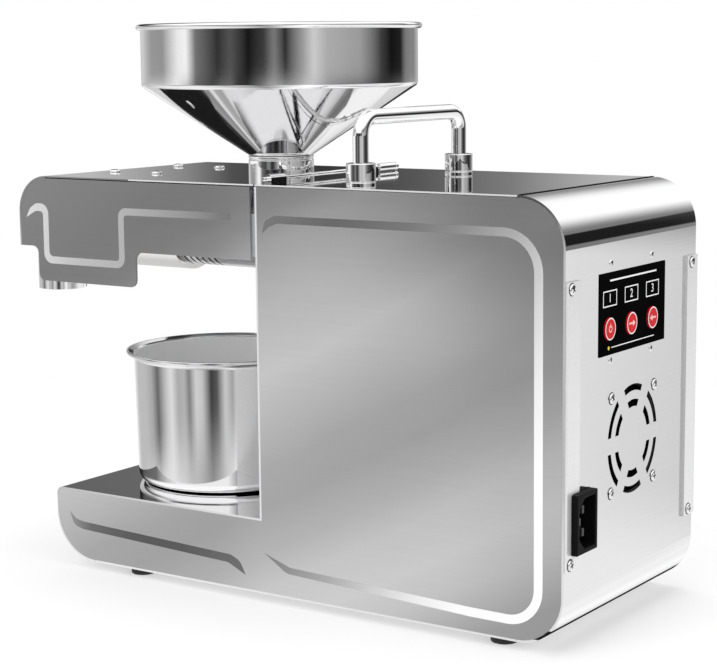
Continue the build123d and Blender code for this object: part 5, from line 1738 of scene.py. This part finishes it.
@dataclass
class Studio:
    """White surroundings, soft lamps, a pale floor and the camera.

    A lamp is its name, its place, its side and its power in watts. A band of the surroundings is
    the heights (sine of the elevation) between which it fades in, and its tones by the compass,
    where 0 is the press's left, 90 its rear and -90 its nose.
    """

    camera_place: Point = (0.6382, -0.8914, 0.3042)
    right: Point = (0.82781, 0.56107, -0.00916)
    up: Point = (-0.07542, 0.12745, 0.98897)
    lens: float = 95.44
    sensor: float = 36.0
    lamps: tuple[tuple[str, Point, float, float], ...] = (
        ("key_softbox", (-0.2, -1.7, 1.5), 1.0, 9.0),
        ("rear_softbox", (1.6, -0.1, 1.1), 0.8, 5.0),
        ("top_softbox", (0.0, 0.3, 1.9), 1.2, 7.0),
        ("front_softbox", (-0.25, -1.6, 0.5), 0.8, 4.0),
    )
    lamp_aim: Point = (0.0, 0.0, 0.12)
    floor_radius: float = 1.1
    floor_tone: float = 0.9
    floor_clear: float = 0.4
    floor_fade: tuple[float, float] = (0.3, 0.75)
    even_light: float = 0.95
    white_boost: float = 0.2
    bands: tuple[tuple[float, float, Stops], ...] = (
        # The table
        (-2.0, -1.5, (
            (-180, 0.9), (-172, 0.82), (-165, 0.66), (-158, 0.6), (-150, 0.6), (-110, 0.6),
            (-80, 0.8), (-50, 0.85), (-25, 0.7), (20, 0.3), (42, 0.66), (60, 1.0), (90, 0.75),
            (125, 0.8), (150, 0.78), (157, 0.79), (163, 0.84), (169, 0.82), (180, 0.9),
        )),
        # Upright streaks on what stands round it
        (-0.27, -0.22, (
            (-180, 0.8), (-165, 0.5), (-159, 0.02), (-142, 0.02), (-134, 0.85), (-108, 0.5),
            (-85, 0.5), (-70, 0.4), (-58, 0.14), (-43, 0.55), (-35, 0.7), (-25, 0.42), (-16, 0.46),
            (-9, 0.22), (0, 0.62), (8, 0.55), (19, 0.045), (27, 0.1), (37, 0.58), (46, 0.36),
            (57, 0.85), (66, 0.56), (80, 0.4), (100, 0.5), (125, 0.75), (150, 0.76), (157, 0.58),
            (170, 0.8), (180, 0.9),
        )),
        # The foot of the dark horizon
        (-0.11, -0.08, (
            (-180, 0.5), (-110, 0.5), (-95, 0.85), (-58, 0.85), (-48, 0.35), (-36, 0.1), (-20, 0.06),
            (-12, 0.2), (-5, 0.2), (2, 0.03), (10, 0.05), (20, 0.25), (28, 0.5), (45, 0.45), (58, 0.6),
            (68, 0.4), (78, 0.2), (92, 0.08), (120, 0.015), (132, 0.05), (148, 0.15), (158, 0.25),
            (180, 0.5),
        )),
        # The dark horizon
        (-0.03, -0.012, (
            (-180, 0.2), (-165, 0.4), (-154, 0.48), (-150.5, 0.2), (-147.5, 0.09), (-144.5, 0.03),
            (-142, 0.08), (-140.5, 0.25), (-137.5, 0.48), (-120, 0.6), (-95, 0.32), (-75, 0.3),
            (-55, 0.78), (-46, 0.85), (-36, 0.18), (-15, 0.03), (-4, 0.09), (11, 0.006), (24, 0.045),
            (32, 0.2), (41, 0.018), (55, 0.33), (64, 0.6), (75, 0.42), (105, 0.34), (128, 0.05),
            (140, 0.006), (155, 0.015), (164, 0.2), (180, 0.25),
        )),
        # The backdrop
        (0.165, 0.185, (
            (-180, 0.95), (-175, 0.9), (-170, 0.55), (-165, 0.25), (-150, 0.28), (-142, 0.15),
            (-134, 0.12), (-128, 0.02), (-112, 0.02), (-98, 0.1), (-68, 0.12), (-50, 0.5), (-30, 0.85),
            (38, 0.85), (54, 0.15), (100, 0.15), (150, 0.18), (157, 0.2), (160, 0.4), (166, 0.95),
            (180, 0.95),
        )),
        # The sky
        (0.2, 0.5, (
            (-180, 0.95), (-166, 0.92), (-158, 0.75), (-148, 0.28), (-140, 0.1), (-128, 0.012),
            (-114, 0.012), (-104, 0.6), (-85, 1.0), (120, 1.0), (180, 0.95),
        )),
        # The ceiling
        (0.73, 0.78, (
            (-180, 0.6), (-171, 0.5), (-167, 0.12), (-163, 0.4), (-155, 0.65), (-149, 0.85), (-143, 1.0),
            (-130, 1.0), (-124, 0.72), (-116, 0.68), (-100, 0.9), (-60, 1.0), (150, 1.0), (180, 0.6),
        )),
    )

    def build(self) -> None:
        """Sets up the whole studio."""
        scene = bpy.context.scene
        scene.view_settings.view_transform = "Standard"
        self._world(scene)
        self._camera(scene)
        self._floor()
        for lamp in self.lamps:
            self._lamp(*lamp)
        LOG.info("studio is set")

    def _world(self, scene: bpy.types.Scene) -> None:
        """White to the camera; to gloss, a studio with a dark horizon and soft bands.

        Args:
            scene: the scene that gets it.
        """
        world = bpy.data.worlds.new("white_studio")
        scene.world = world
        world.use_nodes = True
        shader = Shader(world.node_tree)
        way = shader.out(shader.add("ShaderNodeTexCoord"), "Generated")
        x, y, z = shader.parts(way)
        turn = x.math("ARCTAN2", y * -1.0) / math.tau + 0.5
        tone: Number = 0.0
        for start, end, stops in self.bands:
            band = turn.stops(*(((degrees + 180) / 360, grey) for degrees, grey in stops))
            share = z.ramp(start, end)
            tone = tone * (1 - share) + share * band
        tone = tone * (1 + tone * self.white_boost)
        paths = shader.add("ShaderNodeLightPath")
        seen, gloss = shader.out(paths, "Is Camera Ray"), shader.out(paths, "Is Glossy Ray")
        through = shader.out(paths, "Is Transmission Ray")
        white = seen.math("MAXIMUM", through)
        level = white + (1 - white) * (gloss * tone + (1 - gloss) * self.even_light)
        background = shader.add(
            "ShaderNodeBackground", sockets={"Color": (1.0, 1.0, 1.0), "Strength": level}
        )
        shader.add("ShaderNodeOutputWorld", sockets={"Surface": shader.out(background)})

    def _camera(self, scene: bpy.types.Scene) -> None:
        """Puts the camera at the photograph's viewpoint.

        Args:
            scene: the scene that gets it.
        """
        data = bpy.data.cameras.new("photo_view")
        data.lens, data.sensor_width, data.sensor_fit = self.lens, self.sensor, "HORIZONTAL"
        data.clip_start, data.clip_end = 0.05, 20.0
        camera = bpy.data.objects.new("photo_view", data)
        right, up = Vector(self.right), Vector(self.up)
        turn = Matrix((right, up, right.cross(up))).transposed()
        camera.matrix_world = Matrix.Translation(Vector(self.camera_place)) @ turn.to_4x4()
        scene.collection.objects.link(camera)
        scene.camera = camera

    def _lamp(self, name: str, place: Point, size: float, power: float) -> None:
        """Adds a soft area lamp that faces the press.

        Args:
            name: the lamp's name.
            place: where it hangs.
            size: its side.
            power: its power in watts.
        """
        data = bpy.data.lights.new(name, "AREA")
        data.size, data.energy = size, power
        lamp = bpy.data.objects.new(name, data)
        lamp.location = place
        way = Vector(self.lamp_aim) - Vector(place)
        lamp.rotation_euler = way.to_track_quat("-Z", "Y").to_euler()
        lamp.visible_glossy = False
        bpy.context.scene.collection.objects.link(lamp)

    def _floor(self) -> None:
        """Lays a pale round floor that fades into white."""
        form = bmesh.new()
        bmesh.ops.create_circle(form, cap_ends=True, radius=self.floor_radius, segments=96)
        mesh = bpy.data.meshes.new("pale_floor")
        form.to_mesh(mesh)
        form.free()
        floor = bpy.data.objects.new("pale_floor", mesh)
        bpy.context.scene.collection.objects.link(floor)
        material = bpy.data.materials.new("pale_floor")
        material.use_nodes = True
        shader = Shader(material.node_tree)
        x, y, _ = shader.parts(shader.place())
        radius = (x * x + y * y) ** 0.5
        matt = shader.add("ShaderNodeBsdfDiffuse", sockets={"Color": (self.floor_tone,) * 3})
        clear = shader.add("ShaderNodeBsdfTransparent")
        fade = self.floor_clear + radius.ramp(*self.floor_fade) * (1 - self.floor_clear)
        sockets = {0: fade, 1: shader.out(matt), 2: shader.out(clear)}
        mix = shader.add("ShaderNodeMixShader", sockets=sockets)
        shader.add("ShaderNodeOutputMaterial", sockets={"Surface": shader.out(mix)})
        mesh.materials.append(material)
        floor.visible_glossy = False


def main() -> None:
    """Builds the press piece by piece, then the studio."""
    logging.basicConfig(level=logging.INFO, format="%(name)s: %(message)s")
    assemblies = (
        PlatePair(), Sheets(), Hopper(), CarryHandle(), OilCup(), NoseOutlet(), LockRod(),
        Fasteners(), ControlPanel(), PowerInlet(), CoolingFan(), Feet(), Works(), Studio(),
    )
    for assembly in assemblies:
        LOG.info("building %s", type(assembly).__name__)
        assembly.build()


if __name__ == "__main__":
    main()
